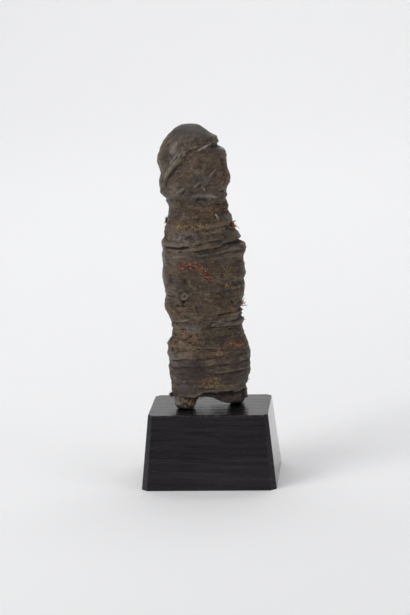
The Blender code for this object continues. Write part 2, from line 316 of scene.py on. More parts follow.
def dark_dry_wood():
    wood = Finish("dark_dry_wood")
    grain = wood.noise(wood.scaled(wood.place, (2400, 2400, 420)), 1.0, 3.0, 0.6, 0.4)
    mottle = wood.noise(wood.place, 420.0, 4.0, 0.65)
    grime = wood.noise(wood.scaled(wood.place, (520, 520, 420)), 1.0, 3.0, 0.7)
    tone = wood.ramp(
        mottle,
        (0.34, (0.0350, 0.0295, 0.0240)),
        (0.46, (0.1400, 0.1190, 0.0940)),
        (0.58, (0.2500, 0.1960, 0.1380)),
        (0.74, (0.2200, 0.2200, 0.1850)),
    )
    x, y, z = wood.parts(wood.place)
    rubbed = 1.0 - (x + 0.0108).maths("ABSOLUTE").between(0.0008, 0.0026)
    rubbed = rubbed * (1.0 - y.between(-0.0092, -0.0060))
    rubbed = rubbed * z.between(SOLE + 0.0018, SOLE + 0.0036) * (0.35 + grime)
    tone = wood.mix(rubbed.limited() * 0.85, tone, (0.340, 0.195, 0.115))
    # Darker mix: grime, painted shade at the sole where the foot meets the plinth, painted shade at the top
    # under the cloth's hem, and darker towards the left edge.
    grime_and_shade = (1.0 - z.between(SOLE + 0.0004, SOLE + 0.0022)) * 0.75 + grime.between(0.53, 0.59) * 0.85
    grime_and_shade = grime_and_shade + z.between(SOLE + 0.0062, SOLE + 0.0082) * 0.8 + (1.0 - x.between(-0.0206, -0.0180)) * 0.35
    tone = wood.mix(grime_and_shade.limited() * 0.85, tone, (0.0120, 0.0095, 0.0085))
    tone = wood.mix(grain.between(0.52, 0.72) * 0.45, tone, (0.0260, 0.0200, 0.0160))
    roughness = 0.62 + mottle * 0.25
    return wood.finish(tone, roughness, ((mottle, 0.5, 0.0003), (grain, 0.6, 0.00012)))


carved_feet()


# The wrapping: strips of coarse cloth wound over each other round the carved figure from hem to crown, and
# stuck into one hard dark mass by glue, dirt and handling. It is modelled as one skin with the lap of each
# strip, its creases, the knot and the holes, open underneath where the legs go in. Sizes are in mm here,
# and turns are in degrees to the viewer's right of the front.
MM = 1000
TALL = FIGURE_HEIGHT * MM
OUTLINE = np.array((
    (0.026, -0.005, 0.131, 0.093, 0.000), (0.076, -0.006, 0.130, 0.095, 0.000),
    (0.099, -0.003, 0.134, 0.099, 0.001), (0.121, -0.001, 0.139, 0.102, 0.002),
    (0.185, 0.000, 0.143, 0.106, 0.003), (0.230, -0.004, 0.139, 0.103, 0.004),
    (0.250, -0.001, 0.130, 0.097, 0.004), (0.272, -0.002, 0.122, 0.091, 0.003),
    (0.294, -0.005, 0.121, 0.088, 0.002), (0.316, -0.005, 0.125, 0.090, 0.001),
    (0.338, -0.012, 0.126, 0.092, 0.000), (0.358, -0.014, 0.134, 0.096, 0.000),
    (0.402, -0.009, 0.132, 0.097, 0.000), (0.444, -0.010, 0.138, 0.099, 0.000),
    (0.487, -0.010, 0.141, 0.101, 0.001), (0.529, -0.012, 0.138, 0.100, 0.002),
    (0.571, -0.010, 0.140, 0.098, 0.002), (0.587, -0.012, 0.138, 0.096, 0.002),
    (0.602, -0.019, 0.128, 0.093, 0.002), (0.616, -0.011, 0.129, 0.091, 0.002),
    (0.634, -0.011, 0.128, 0.090, 0.002), (0.656, -0.016, 0.122, 0.087, 0.002),
    (0.677, -0.023, 0.107, 0.083, 0.002), (0.698, -0.022, 0.101, 0.080, 0.003),
    (0.720, -0.022, 0.101, 0.082, 0.004), (0.741, -0.030, 0.103, 0.086, 0.004),
    (0.762, -0.037, 0.112, 0.093, 0.005), (0.803, -0.034, 0.116, 0.101, 0.006),
    (0.846, -0.034, 0.114, 0.104, 0.006), (0.887, -0.038, 0.116, 0.103, 0.006),
    (0.908, -0.040, 0.109, 0.098, 0.006), (0.930, -0.045, 0.096, 0.089, 0.006),
    (0.952, -0.043, 0.084, 0.078, 0.005), (0.972, -0.044, 0.067, 0.063, 0.004),
    (0.984, -0.046, 0.053, 0.050, 0.004), (0.994, -0.044, 0.036, 0.034, 0.004),
    (1.000, -0.042, 0.000, 0.000, 0.004),
)) * TALL
SQUARENESS = 2.3
HEM = np.array((
    (-0.180, 0.050), (-0.129, 0.047), (-0.108, 0.045), (-0.055, 0.046), (-0.044, 0.053), (-0.012, 0.053),
    (0.030, 0.047), (0.066, 0.034), (0.090, 0.025), (0.129, 0.027), (0.180, 0.042),
)) * TALL
COLUMNS = 236
FRONT_COLUMNS = 148
SKIN_ROWS = 392
BACK_HEM = 5.6
POCKET_ROOF = 15.0
WALL = 2.6
THREAD_PITCH = 0.00042


def smooth_step(values, low, high):
    part = np.clip((values - low) / (high - low), 0, 1)
    return part * part * (3 - 2 * part)


def smooth_between(at, places, values):
    """Values between a table's rows, on a curve without corners."""
    slopes = np.gradient(values, places)
    row = np.clip(np.searchsorted(places, at) - 1, 0, len(places) - 2)
    gap = places[row + 1] - places[row]
    t = (at - places[row]) / gap
    return (
        (2 * t**3 - 3 * t**2 + 1) * values[row]
        + (t**3 - 2 * t**2 + t) * gap * slopes[row]
        + (3 * t**2 - 2 * t**3) * values[row + 1]
        + (t**3 - t**2) * gap * slopes[row + 1]
    )


# The columns stand closer together over the front half. Rows follow the outline's length up to the crown.
front = np.linspace(-90, 90, FRONT_COLUMNS, endpoint=False)
behind = np.linspace(90, 270, COLUMNS - FRONT_COLUMNS, endpoint=False)
column_turns = np.sort(np.concatenate([front, np.where(behind >= 180, behind - 360, behind)]))
climb = np.concatenate([[0], np.cumsum(np.hypot(*np.diff(OUTLINE[:, [0, 2]], axis=0).T))])
row_climb = np.linspace(0, climb[-1], SKIN_ROWS)
row_height, row_shift, row_half_width, row_half_depth, row_forward = (
    smooth_between(row_climb, climb, column) for column in OUTLINE.T
)
row_half_width = np.maximum(row_half_width, 1e-3)
row_half_depth = np.maximum(row_half_depth, 1e-3)
turn = np.broadcast_to(column_turns, (SKIN_ROWS, COLUMNS))
sine = np.sin(np.radians(turn))
cosine = np.cos(np.radians(turn))
# The hem: each column starts at the cut line that lies over its own sideways place. Behind the right leg it
# hangs lower than in front.
sideways = row_shift[0] + row_half_width[0] * sine[0]
hem_height = np.interp(sideways, HEM[:, 0], HEM[:, 1])
behind_leg = smooth_step(-cosine[0], 0, 0.5) * smooth_step(sideways, -2, 3)
hem_height -= behind_leg * np.clip(hem_height - BACK_HEM, 0, None)
low_height = row_height[0]
height = hem_height + (row_height[:, None] - low_height) * (TALL - hem_height) / (TALL - low_height)
around = row_half_width[:, None] + 0 * turn
reach = (
    (abs(sine) / row_half_width[:, None]) ** SQUARENESS
    + (abs(cosine) / row_half_depth[:, None]) ** SQUARENESS
) ** (-1 / SQUARENESS)


def crumple(seed, heights, cells_round, cell_height):
    """Smooth seeded unevenness from about -1 to 1 that closes on itself round the body."""
    values = np.random.default_rng(seed).uniform(-1.6, 1.6, (97, cells_round))
    x = turn / 360 * cells_round + cells_round
    y = heights / cell_height + 9.7
    column, row = np.floor(x).astype(int), np.floor(y).astype(int)
    x, y = x - column, y - row

    def weights(t):
        return ((1 - t) ** 3, 3 * t**3 - 6 * t**2 + 4, -3 * t**3 + 3 * t**2 + 3 * t + 1, t**3)

    total = np.zeros_like(x)
    for i, across in enumerate(weights(x)):
        for j, up in enumerate(weights(y)):
            total += across * up * values[(row + j - 1) % 97, (column + i - 1) % cells_round] / 36
    return total * 1.5


def soften(field, cells):
    """The field blurred over that many columns and rows."""
    offsets = np.arange(-2 * cells, 2 * cells + 1)
    weights = np.exp(-0.5 * (offsets / cells) ** 2)
    weights /= weights.sum()
    field = sum(w * np.roll(field, o, axis=1) for o, w in zip(offsets, weights))
    tall = np.pad(field, ((2 * cells, 2 * cells), (0, 0)), mode="edge")
    return sum(w * tall[2 * cells + o : 2 * cells + o + len(field)] for o, w in zip(offsets, weights))


def beside(path):
    """For each point of the skin: how far it is from the path, how far up from it, and how far along it."""
    path = np.array(path, float)
    nearest = np.full(turn.shape, np.inf)
    up_from = np.zeros(turn.shape)
    along = np.zeros(turn.shape)
    so_far = 0.0
    for start, end in zip(path[:-1], path[1:]):
        run = np.radians(end[0] - start[0]) * around
        rise = end[1] - start[1]
        length = np.hypot(run, rise)
        x = np.radians(turn - start[0]) * around
        y = height - start[1]
        t = np.clip((x * run + y * rise) / length**2, 0, 1)
        away = np.hypot(x - t * run, y - t * rise)
        side = (y * run - x * rise) / length
        closer = away < nearest
        nearest = np.where(closer, away, nearest)
        up_from = np.where(closer, np.sign(side) * away, up_from)
        along = np.where(closer, so_far + t * length, along)
        so_far += float(np.median(length))
    return nearest, up_from, along, so_far


class Skin:
    """The layers of cloth so far: how far they stand out, and what each point of the surface is like."""

    out = np.zeros(turn.shape)
    tint = np.zeros(turn.shape)
    along = np.radians(turn) * around
    across = height + 0.0


def wind(path, width, thickness, seed, creases=0.3, ragged=0.35, lip=0.16, tint=None, run_out=5.0):
    """Lays a strip whose lower edge, free in places and stuck flat in others, follows the path."""
    _, above, along, length = beside(path)
    above = above + ragged * crumple(seed, height, 30, 7.0)
    above = above + 0.5 * ragged * crumple(seed + 1, height, 96, 2.0)
    goes_round = path[0][0] <= -180 and path[-1][0] >= 180
    held = 1.0
    if not goes_round:
        held = smooth_step(along, 0, run_out) * (1 - smooth_step(along, length - run_out, length))
    free = smooth_step(crumple(seed + 5, height * 0.3, 8, 9.0), -0.45, 0.45)
    thickness = thickness * (0.22 + 0.78 * free)
    step = smooth_step(above, -0.15, 0.40 + 1.1 * (1 - free)) * held
    cover = step * (1 - smooth_step(above, 0.70 * width, 1.05 * width))
    body = thickness * (1 - smooth_step(above, 0.25 * width, width))
    body = body + lip * thickness * np.exp(-(((above - 0.55) / 0.5) ** 2))
    body = body * (1 + 0.35 * crumple(seed + 2, height, 14, 9.0))
    tuck = 0.22 * thickness * np.exp(-(((above + 0.30) / 0.35) ** 2)) * held
    valleys = abs(crumple(seed + 3, above + 40, 11, 1.25)) - 0.35
    ripples = crumple(seed + 4, above + 40, 26, 0.62)
    folds = 0.42 * creases * (valleys + 0.30 * ripples) * smooth_step(above, 0.3, 1.2)
    Skin.out = Skin.out * (1 - cover) + (0.75 * soften(Skin.out, 5) + folds) * cover + body * step - tuck
    tint = np.random.default_rng(seed).uniform(-1, 1) if tint is None else tint
    Skin.tint = Skin.tint * (1 - cover) + tint * cover
    taken = cover > 0.5
    Skin.along = np.where(taken, along, Skin.along)
    Skin.across = np.where(taken, above + 7 * (seed % 9), Skin.across)


def fold(path, width, rise, seed=0, fade=2.0):
    """A rounded ridge along the path, or a furrow where rise is negative, that dies away at its ends."""
    near, _, along, length = beside(path)
    fade = min(fade, 0.45 * length)
    ends = smooth_step(along, 0, fade) * (1 - smooth_step(along, length - fade, length))
    wander = 1 + 0.3 * crumple(300 + seed, height, 40, 3.0)
    Skin.out = Skin.out + rise * ends * np.exp(-((near / (0.6 * width * wander)) ** 2))


def lump(at_turn, at_height, half_wide, half_high, rise, power=2.0):
    """A rounded bump, or a hollow where rise is negative."""
    x = (np.radians((turn - at_turn + 180) % 360 - 180) * around) / half_wide
    y = (height - at_height) / half_high
    Skin.out = Skin.out + rise * np.exp(-np.hypot(x, y) ** power)


def patch(at_turn, at_height, half_wide, half_high, seed, broken=0.8):
    """A soft-edged area from 0 to 1, broken up by streaks."""
    x = (np.radians((turn - at_turn + 180) % 360 - 180) * around) / half_wide
    y = (height - at_height) / half_high
    area = np.clip(1.35 - np.hypot(x, y), 0, 1)
    streaks = crumple(seed, height, 34, 0.9) + 0.6 * crumple(seed + 1, height, 90, 0.7)
    return np.clip(area * (1 + broken * 1.6 * streaks), 0, 1)


def patches(*rows):
    """The strongest of several patches at each point. A row is the strength, then the patch's values."""
    return np.maximum.reduce([patch(*values) * strength for strength, *values in rows])


# Under-layer, loosely crumpled all over.
Skin.out += 0.42 * crumple(11, height, 9, 11.0) + 0.22 * crumple(12, height, 20, 4.0)
Skin.out += 0.10 * (abs(crumple(13, height, 22, 1.5)) - 0.3)


def lay_scraps(count, seed, low, high, thickness):
    """Short torn strips laid a little askew over the rest, at seeded places."""
    draw = np.random.default_rng(seed)
    for k in range(count):
        start, length = draw.uniform(-180, 110), draw.uniform(35, 95)
        at_height, slope = draw.uniform(low, high), draw.uniform(-0.035, 0.045)
        path = [
            (start + length * t, at_height + slope * length * t + draw.normal(0, 0.35))
            for t in (0, 0.3, 0.6, 1)
        ]
        width, thick = draw.uniform(3.0, 6.0), thickness * draw.uniform(0.6, 1.3)
        wind(path, width, thick, seed + 10 * k, 0.26, 0.5, run_out=4)


# Skirt and hips, from the hem up.
for width, thickness, seed, creases, more, path in (
    (12, 0.7, 21, 0.30, {"tint": -0.2}, ((-180, 9.5), (-96, 9.0), (-60, 7.9), (-24, 7.9), (-12, 10.4),
     (2, 11.3), (38, 11.4), (84, 12.0), (120, 11.0), (180, 9.5))),
    (6, 0.25, 22, 0.25, {}, ((-180, 17.5), (-110, 16.5), (-66, 16.0), (-20, 17.2), (30, 18.2), (90, 18.8),
     (180, 17.5))),
    (7, 0.42, 23, 0.30, {"tint": 0.1}, ((-180, 22.0), (-67, 20.7), (-11, 23.4), (58, 24.1), (120, 23.5),
     (180, 22.0))),
    (6, 0.6, 24, 0.32, {}, ((-180, 27.0), (-61, 26.1), (-24, 27.5), (17, 28.7), (60, 29.0), (120, 28.0),
     (180, 27.0))),
    (8, 0.45, 25, 0.36, {"tint": 0.35}, ((-180, 31.8), (-100, 30.5), (-66, 30.3), (-29, 32.0), (9, 33.2),
     (52, 33.9), (110, 33.0), (180, 31.8))),
    (7, 0.3, 26, 0.32, {}, ((-180, 38.0), (-90, 37.0), (-20, 38.6), (14, 38.2), (50, 38.0), (100, 39.0),
     (180, 38.0))),
    (6, 0.3, 27, 0.30, {}, ((-180, 43.5), (-72, 42.6), (-30, 44.0), (12, 44.8), (70, 43.6), (120, 44.0),
     (180, 43.5))),
    (6, 0.45, 28, 0.26, {}, ((-180, 48.5), (-72, 48.2), (-33, 49.8), (12, 50.5), (70, 50.3), (120, 49.5),
     (180, 48.5))),
    # Waist and belly.
    (5, 0.35, 29, 0.26, {}, ((-180, 53.0), (-80, 52.4), (-56, 53.2), (-32, 54.4), (10, 54.2), (60, 53.6),
     (120, 53.2), (180, 53.0))),
    (8, 0.40, 30, 0.28, {}, ((-180, 58.4), (-75, 57.5), (-36, 56.5), (-10, 56.8), (15, 56.9), (36, 57.6),
     (61, 58.4), (90, 59), (180, 58.4))),
    (9, 0.28, 31, 0.26, {}, ((-180, 64.0), (-60, 62.4), (-32, 62.9), (5, 62.2), (36, 64.0), (70, 66.0),
     (110, 65.5), (180, 64.0))),
    (10, 0.25, 32, 0.20, {"lip": 0.1}, ((-180, 72.0), (-80, 70.5), (-34, 71.0), (10, 70.0), (60, 71.5),
     (120, 73.0), (180, 72.0))),
    (9, 0.25, 33, 0.22, {"lip": 0.1}, ((-180, 80.0), (-90, 78.0), (-30, 79.5), (30, 76.5), (80, 79.0),
     (180, 80.0))),
):
    wind(path, width, thickness, seed, creases, **more)
lay_scraps(12, 400, 16, 62, 0.32)
# Shoulder bands.
for width, thickness, seed, creases, more, path in (
    (6, 0.50, 34, 0.24, {"lip": 0.4, "tint": 0.25}, ((-180, 90.5), (-74, 89.3), (-39, 91.2), (-13, 91.4),
     (18, 92.4), (51, 94.6), (75, 94.4), (110, 93), (180, 90.5))),
    (5, 0.55, 35, 0.22, {"lip": 0.4, "tint": 0.5}, ((-180, 95.0), (-74, 93.4), (-39, 94.6), (0, 95.8),
     (30, 97.6), (60, 99.2), (110, 97.5), (180, 95.0))),
    (8, 0.38, 36, 0.30, {"tint": 0.1}, ((-180, 98.8), (-73, 97.9), (-54, 97.5), (-38, 97.6), (-19, 98.4),
     (1, 99.6), (25, 100.8), (50, 102), (110, 100.5), (180, 98.8))),
    # Chest and neck wraps.
    (6, 0.30, 37, 0.34, {}, ((-180, 107.0), (-52, 105.6), (-20, 106.6), (0, 107.3), (30, 108.0),
     (75, 109.0), (120, 108.0), (180, 107.0))),
    (6, 0.28, 38, 0.28, {}, ((-180, 113.0), (-70, 112.4), (-20, 113.0), (20, 114.2), (70, 115.4),
     (120, 114.5), (180, 113.0))),
    (7, 0.5, 39, 0.24, {}, ((-180, 118.4), (-90, 117.2), (-56, 116.8), (-25, 117.8), (12, 120.6),
     (37, 122.0), (75, 121.6), (130, 120.0), (180, 118.4))),
):
    wind(path, width, thickness, seed, creases, **more)
lay_scraps(6, 600, 100, 122, 0.28)

# Head: cloth slung over the face, diagonal laps rising to the right, the roll down the left cheek, the brow
# strip and the cap over them. There is no face, only cloth.
for width, thickness, seed, creases, more, path in (
    (22, 0.45, 40, 0.16, {"ragged": 0.25, "lip": 0.25, "tint": -0.1}, ((-180, 127.0), (-60, 124.4),
     (-40, 125.9), (-16, 125.6), (6, 126.0), (28, 126.9), (48, 126.6), (80, 126.0), (120, 127.0),
     (180, 127.0))),
    (7, 0.3, 41, 0.16, {"ragged": 0.12}, ((-36, 127.6), (-29, 128.8), (-12, 132.2), (4, 136.6),
     (16, 141.0), (26, 147.0))),
    (7, 0.32, 42, 0.18, {"ragged": 0.12}, ((-12, 128.0), (5, 131.7), (16, 135.3), (26, 140.0),
     (34, 146.5))),
    (7, 0.5, 43, 0.20, {"ragged": 0.15, "lip": 0.5, "tint": -0.4}, ((4, 128.0), (14, 131.2), (24, 134.6),
     (32, 137.2), (39, 139.9), (50, 143.4), (62, 149.0))),
    (11, 0.40, 44, 0.16, {"ragged": 0.15, "tint": 0.3, "run_out": 16}, ((-175, 142.0), (-110, 139.0),
     (-58, 130.5), (-52, 135.6), (-43, 139.4), (-33, 142.6), (-20, 146.0), (-9, 149.2), (3, 152.0),
     (12, 154.0))),
    (26, 0.34, 45, 0.15, {"ragged": 0.12, "lip": 0.25, "tint": 0.1}, ((-180, 150.0), (-120, 146.5),
     (-72, 140.0), (-50, 141.4), (-34, 146.2), (-23, 149.4), (-12, 151.6), (3, 153.2), (25, 155.1),
     (42, 156.8), (62, 158.2), (110, 155.5), (180, 150.0))),
):
    wind(path, width, thickness, seed, creases, **more)

# What the wraps take off or add to the outline is spread out again, and then the marked forms go on.
Skin.out -= soften(Skin.out, 14)

for shape, *values in (
    (fold, ((-2, 149.0), (-10, 147.4), (-20, 145.2), (-33, 141.4), (-43, 138.0), (-50, 133.9),
     (-55, 130.0), (-52, 126.4)), 1.5, -0.50, 1, 9),
    (fold, ((-4, 151.6), (-14, 149.8), (-24, 147.4), (-36, 143.9), (-46, 140.2), (-52, 136.2),
     (-58, 131.4), (-60, 127.0), (-56, 124.6)), 3.2, 0.70, 2, 9),
    (fold, ((-54, 137.6), (-60, 133.8), (-64, 129.0)), 1.2, -0.7, 3),
):
    shape(*values)
for k, place in enumerate((-20.5, -17.5, -14.5, -11.5, -8.5)):
    fold([(place, 149.0 + 0.35 * k), (place + 3.4, 151.9 + 0.35 * k)], 0.55, 0.70, 4 + k, 0.6)
for shape, *values in (
    (fold, ((-18, 153.4), (-23, 151.2), (-29, 148.4), (-36, 145.6)), 1.0, 0.70, 9),
    (fold, ((-20, 149.6), (-28, 146.6), (-38, 142.8)), 1.0, 0.45, 98),
    (fold, ((-27, 157.6), (-31, 154.6), (-36, 151.0)), 2.6, 0.40, 10),
    (fold, ((19, 153.2), (34, 154.7), (54, 156.4)), 0.65, 0.62, 11),
    (fold, ((14, 155.6), (34, 157.0), (62, 159.4)), 1.1, -0.34, 12),
    (fold, ((0, 153.0), (12, 153.6), (24, 154.2)), 1.0, -0.35, 13),
    (fold, ((2, 150.0), (3, 146.8), (6, 141.6)), 0.9, 0.35, 14),
    (fold, ((9, 143.5), (13, 141.6), (20, 140.2)), 0.9, 0.40, 15),
    (fold, ((14, 145.6), (20, 143.4), (26, 142.9)), 1.0, -0.45, 16),
    (fold, ((50, 142.9), (39, 140.2), (32, 137.5)), 0.75, 0.62, 17),
    (fold, ((52, 140.2), (42, 137.4), (34, 134.0), (24, 131.4)), 1.6, -0.45, 18),
    (fold, ((17, 136.0), (6, 132.3)), 0.7, 0.50, 19), (fold, ((22, 134.6), (8, 130.4)), 1.2, -0.40, 20),
    (fold, ((-11, 132.4), (-29, 128.9)), 0.9, 0.62, 21),
    (fold, ((-6, 131.2), (-24, 127.4)), 1.1, -0.40, 22),
    (fold, ((66, 155.2), (74, 151.5), (79, 146.0), (81, 140.0), (80, 133.6)), 4.2, 0.95, 23),
    (fold, ((58, 152.0), (64, 147.0), (68, 140.0), (68, 133.0)), 1.5, -0.28, 24),
    (lump, 22, 137.4, 4.4, 3.0, -0.45), (lump, 17, 125.4, 5.4, 1.5, -0.65),
    (lump, -36, 134.5, 5.0, 5.0, 0.5), (lump, 2, 138.0, 6.0, 5.0, 0.35),
    (lump, 72, 160.2, 3.6, 3.0, 1.7, 2.4), (lump, 88, 155.6, 5.0, 1.3, -1.2),
    (lump, 80, 151.0, 3.4, 3.2, 0.9), (lump, 82, 137.4, 4.4, 3.8, 1.0),
    (fold, ((-180, 124.6), (-60, 123.6), (-40, 124.6), (-16, 124.2), (6, 124.6), (24, 124.8), (48, 125.2),
     (80, 124.4), (180, 124.6)), 1.3, -0.22, 25),
    (fold, ((30, 127.0), (40, 127.4), (50, 126.4)), 1.3, 0.5, 26),
    # Shoulder knob with the notch over it, the dark fold, the lumpy patch and the fibres of the chest.
    (lump, 90, 96.4, 5.0, 3.4, 1.2, 3.0),
    (fold, ((-76, 97.0), (-54, 96.7), (-36, 96.9), (-16, 97.8)), 1.1, -1.15, 27, 7),
    (fold, ((-16, 97.8), (8, 99.0), (34, 100.2), (60, 101.2)), 1.0, -0.10, 28),
):
    shape(*values)
rough_lumps = patch(-30, 101.8, 9.0, 4.2, 61, 0.2)
Skin.out += rough_lumps * 0.85 * crumple(62, height, 46, 2.0)
for k in range(7):
    path = [(-50 + 11 * k, 107.8 + 0.35 * (k % 3)), (-38 + 11 * k, 108.8 + 0.5 * (k % 2))]
    fold(path, 0.5, 0.30, 30 + k, 1.0)
for k in range(4):
    fold([(28 + 6 * k, 113.6 - 0.4 * k), (46 + 6 * k, 119.2 - 0.4 * k)], 0.6, 0.26, 40 + k)
# Slack folds of the chest, the upright fold at its left edge and the hollow beside it.
for shape, *values in (
    (fold, ((-78, 90.0), (-76, 84.0), (-72, 77.0), (-70, 73.0)), 2.4, 0.65, 45),
    (fold, ((-58, 84.0), (-57, 78.0), (-58, 73.0)), 5.0, -0.45, 46, 5),
    (fold, ((-38, 86.0), (-33, 80.0), (-32, 73.0)), 3.6, -0.35, 47, 5),
    (fold, ((-26, 80.0), (-20, 75.0), (-6, 72.8)), 1.4, 0.35, 48),
    (fold, ((6, 86.0), (18, 80.5), (34, 77.0), (52, 75.6)), 1.8, 0.35, 49),
    (fold, ((38, 88.0), (46, 82.0), (62, 77.8), (80, 76.2)), 1.5, 0.40, 50),
):
    shape(*values)
# Knot on the belly, the hole under it and the folds that fan out from it to the left.
near_knot, _, _, _ = beside([(-34.6, 68.4), (-32.4, 69.2)])
Skin.out += 0.85 * np.exp(-(((near_knot - 1.35) / 0.55) ** 2)) + 0.42 * np.exp(-((near_knot / 0.9) ** 2))
lump(-36, 65.3, 1.15, 0.85, -2.3, 3.0)
for k, (far_turn, far_height) in enumerate(((-84, 73.6), (-88, 70.2), (-86, 66.8), (-80, 63.8))):
    halfway = (-58, (68.4 + far_height) / 2 - 0.3 * k)
    fold([(-40, 68.6 - 0.5 * k), halfway, (far_turn, far_height)], 1.3, 0.42, 51 + k, 5)
    halfway = (-60, (66.4 + far_height) / 2 - 0.3 * k)
    fold([(-44, 67.4 - 0.6 * k), halfway, (far_turn, far_height - 1.7)], 0.9, -0.14, 56 + k, 5)
for shape, *values in (
    (fold, ((-30, 69.4), (-18, 71.0), (2, 71.8)), 0.9, 0.40, 61),
    (fold, ((-49, 62.7), (-31, 63.2)), 0.62, -1.15, 62, 1.2),
    (fold, ((-50, 61.2), (-30, 61.6)), 0.9, 0.35, 63),
    (fold, ((53, 66.2), (57, 64.4), (61, 63.2)), 1.0, -1.10, 64, 1.2),
    (fold, ((36, 57.4), (44, 57.7), (60, 58.5)), 0.5, -0.55, 65, 1.4), (lump, 36, 57.3, 0.8, 0.6, -0.9),
    (fold, ((-12, 64.0), (-8, 60.0), (-10, 56.0)), 1.2, -0.45, 66),
    (fold, ((-58, 53.2), (-44, 53.4), (-31, 54.9)), 0.55, 0.55, 67, 1.0),
):
    shape(*values)
# Wrinkles of the waist, the coarse patch on the left hip, and the small points on the outline.
for k, (at_turn, at_height) in enumerate(((14, 53.0), (19, 51.2), (24, 52.6), (27, 50.0), (21, 48.6))):
    path = [(at_turn - 5, at_height - 1.2), (at_turn, at_height + 0.8), (at_turn + 6, at_height + 0.2)]
    fold(path, 0.6, 0.36, 70 + k, 1)
coarse = patch(-36, 41.0, 12.0, 6.0, 63, 0.15)
Skin.out += coarse * (0.50 * crumple(64, height, 52, 2.0) + 0.30 * crumple(65, height, 96, 1.1))
for k, at_height in enumerate((28.4, 30.6, 31.6, 34.4)):
    odd = k % 2
    top, end = (-60 + 3 * odd, at_height + 0.9), (-46 - 7 * odd, at_height - 0.9)
    fold([(-74 + 5 * (k % 3), at_height - 0.8), top, end], 0.8, 0.24, 80 + k, 3)
for k in range(5):
    fold([(8 + 6 * k, 35.0 + 0.5 * (k % 2)), (20 + 6 * k, 36.2 - 0.4 * (k % 3))], 0.55, 0.36, 90 + k, 1.0)
for shape, *values in (
    (lump, -92, 36.6, 1.6, 0.8, 0.9), (lump, 92, 55.2, 1.3, 0.8, 0.9), (lump, 92, 41.0, 3.0, 4.0, 0.4),
):
    shape(*values)
# How far the left and right edges of the wrapping bulge or draw in, by height, beyond its lengthwise profile.
LEFT_EDGE = (
    (5, -0.5), (8, -0.5), (17, 0.15), (20, 0.95), (23, 0.07), (25, 0.5), (27.5, -0.96), (33, 0.76),
    (35, 0.06), (36.5, -0.9), (39, -0.56), (41.5, -2.06), (43.5, -1.65), (47, 0.3), (52.5, 0.5),
    (58, 1.84), (59.5, 1.48), (62, -0.07), (66.5, -0.02), (69.5, 1.08), (80, 0.58), (85.5, -0.58),
    (90, 0.47), (94.5, -0.07), (98.5, 0.8), (101.5, -1.3), (104, 0.42), (105, 0.7), (111, -1.38),
    (116.5, -0.11), (120, 0.08), (123, 0.82), (125, -0.47), (127.5, 0.43), (130, -0.39), (132.5, 0.27),
    (139.5, -0.87), (143, 0.66), (145.5, 0.83), (153, -0.19), (161.5, -0.3), (166, -2.18),
)
RIGHT_EDGE = (
    (5, 1.1), (8, 1.13), (9.5, 1.68), (12.5, 0.22), (14.5, 0.72), (18.5, 0.42), (21, 1.04), (26, 0.23),
    (30, -0.02), (32.5, 0.86), (37.5, 0.71), (40, -0.1), (49, 0.53), (51.5, 1.64), (53.5, -0.99),
    (54.5, -0.02), (56, 0.24), (57, 1.63), (59, -0.64), (59.5, -0.93), (61, 0.17), (63.5, -0.58),
    (66, 1.12), (73, 0.99), (75.5, -0.2), (78.5, 1.2), (82.5, 0.31), (84.5, 0.87), (88, 0.58), (92, 1.73),
    (95, 0.35), (97, 0.62), (99, -2.94), (99.5, -1.62), (100.5, 1.82), (101, 2.19), (105, -2.93),
    (106.5, -4.04), (107.5, -3.36), (108.5, -3.26), (111, 0.11), (114, 2.46), (116, 0.24), (119.5, 0.98),
    (121.5, 0.19), (123, 0), (125, 1.34), (127, 0.61), (129, 0.5), (133, 1.67), (135.5, 0.7),
    (144, -0.23), (151, 0.5), (152.5, 1.11), (154, -0.78), (156.5, 2.42), (158.5, 1.26), (160, 1.46),
    (162, -0.82), (166, -1.1),
)
for side, edge in ((-1, LEFT_EDGE), (1, RIGHT_EDGE)):
    at_heights, bulges = np.transpose(edge)
    Skin.out += np.clip(side * sine, 0, 1) ** 8 * np.interp(height, at_heights, bulges)
# The outer cloth ends ragged over the right leg and leaves the layer under it bare and set back. The bare
# layer gets a dark tint as painted shade under the outer hem.
hem_line = 11.6 + 0.7 * crumple(66, height, 40, 3.0) + 0.4 * crumple(67, height, 96, 1.5)
bare = smooth_step(turn, -10, 2) * (1 - smooth_step(turn, 80, 92))
bare = bare * (1 - smooth_step(height, hem_line - 0.7, hem_line))
Skin.out = Skin.out * (1 - 0.7 * bare) - 1.6 * bare
Skin.tint = Skin.tint * (1 - bare) - 0.9 * bare
# Fine crust and thread relief over everything.
body_part = 1 - 0.35 * smooth_step(height, 122, 130)
Skin.out += (
    body_part * 0.10 * (abs(crumple(16, height, 44, 1.6)) - 0.3)
    + body_part * 0.12 * crumple(17, height, 70, 1.3)
)
Skin.out += 0.10 * crumple(14, height, 120, 1.0) + 0.08 * crumple(15, Skin.across, 90, 0.55)
near_crown = smooth_step(height, TALL - 6, TALL)
Skin.out *= 1 - near_crown * (1 - 0.25 * smooth_step(around, 1.0, 7.0))
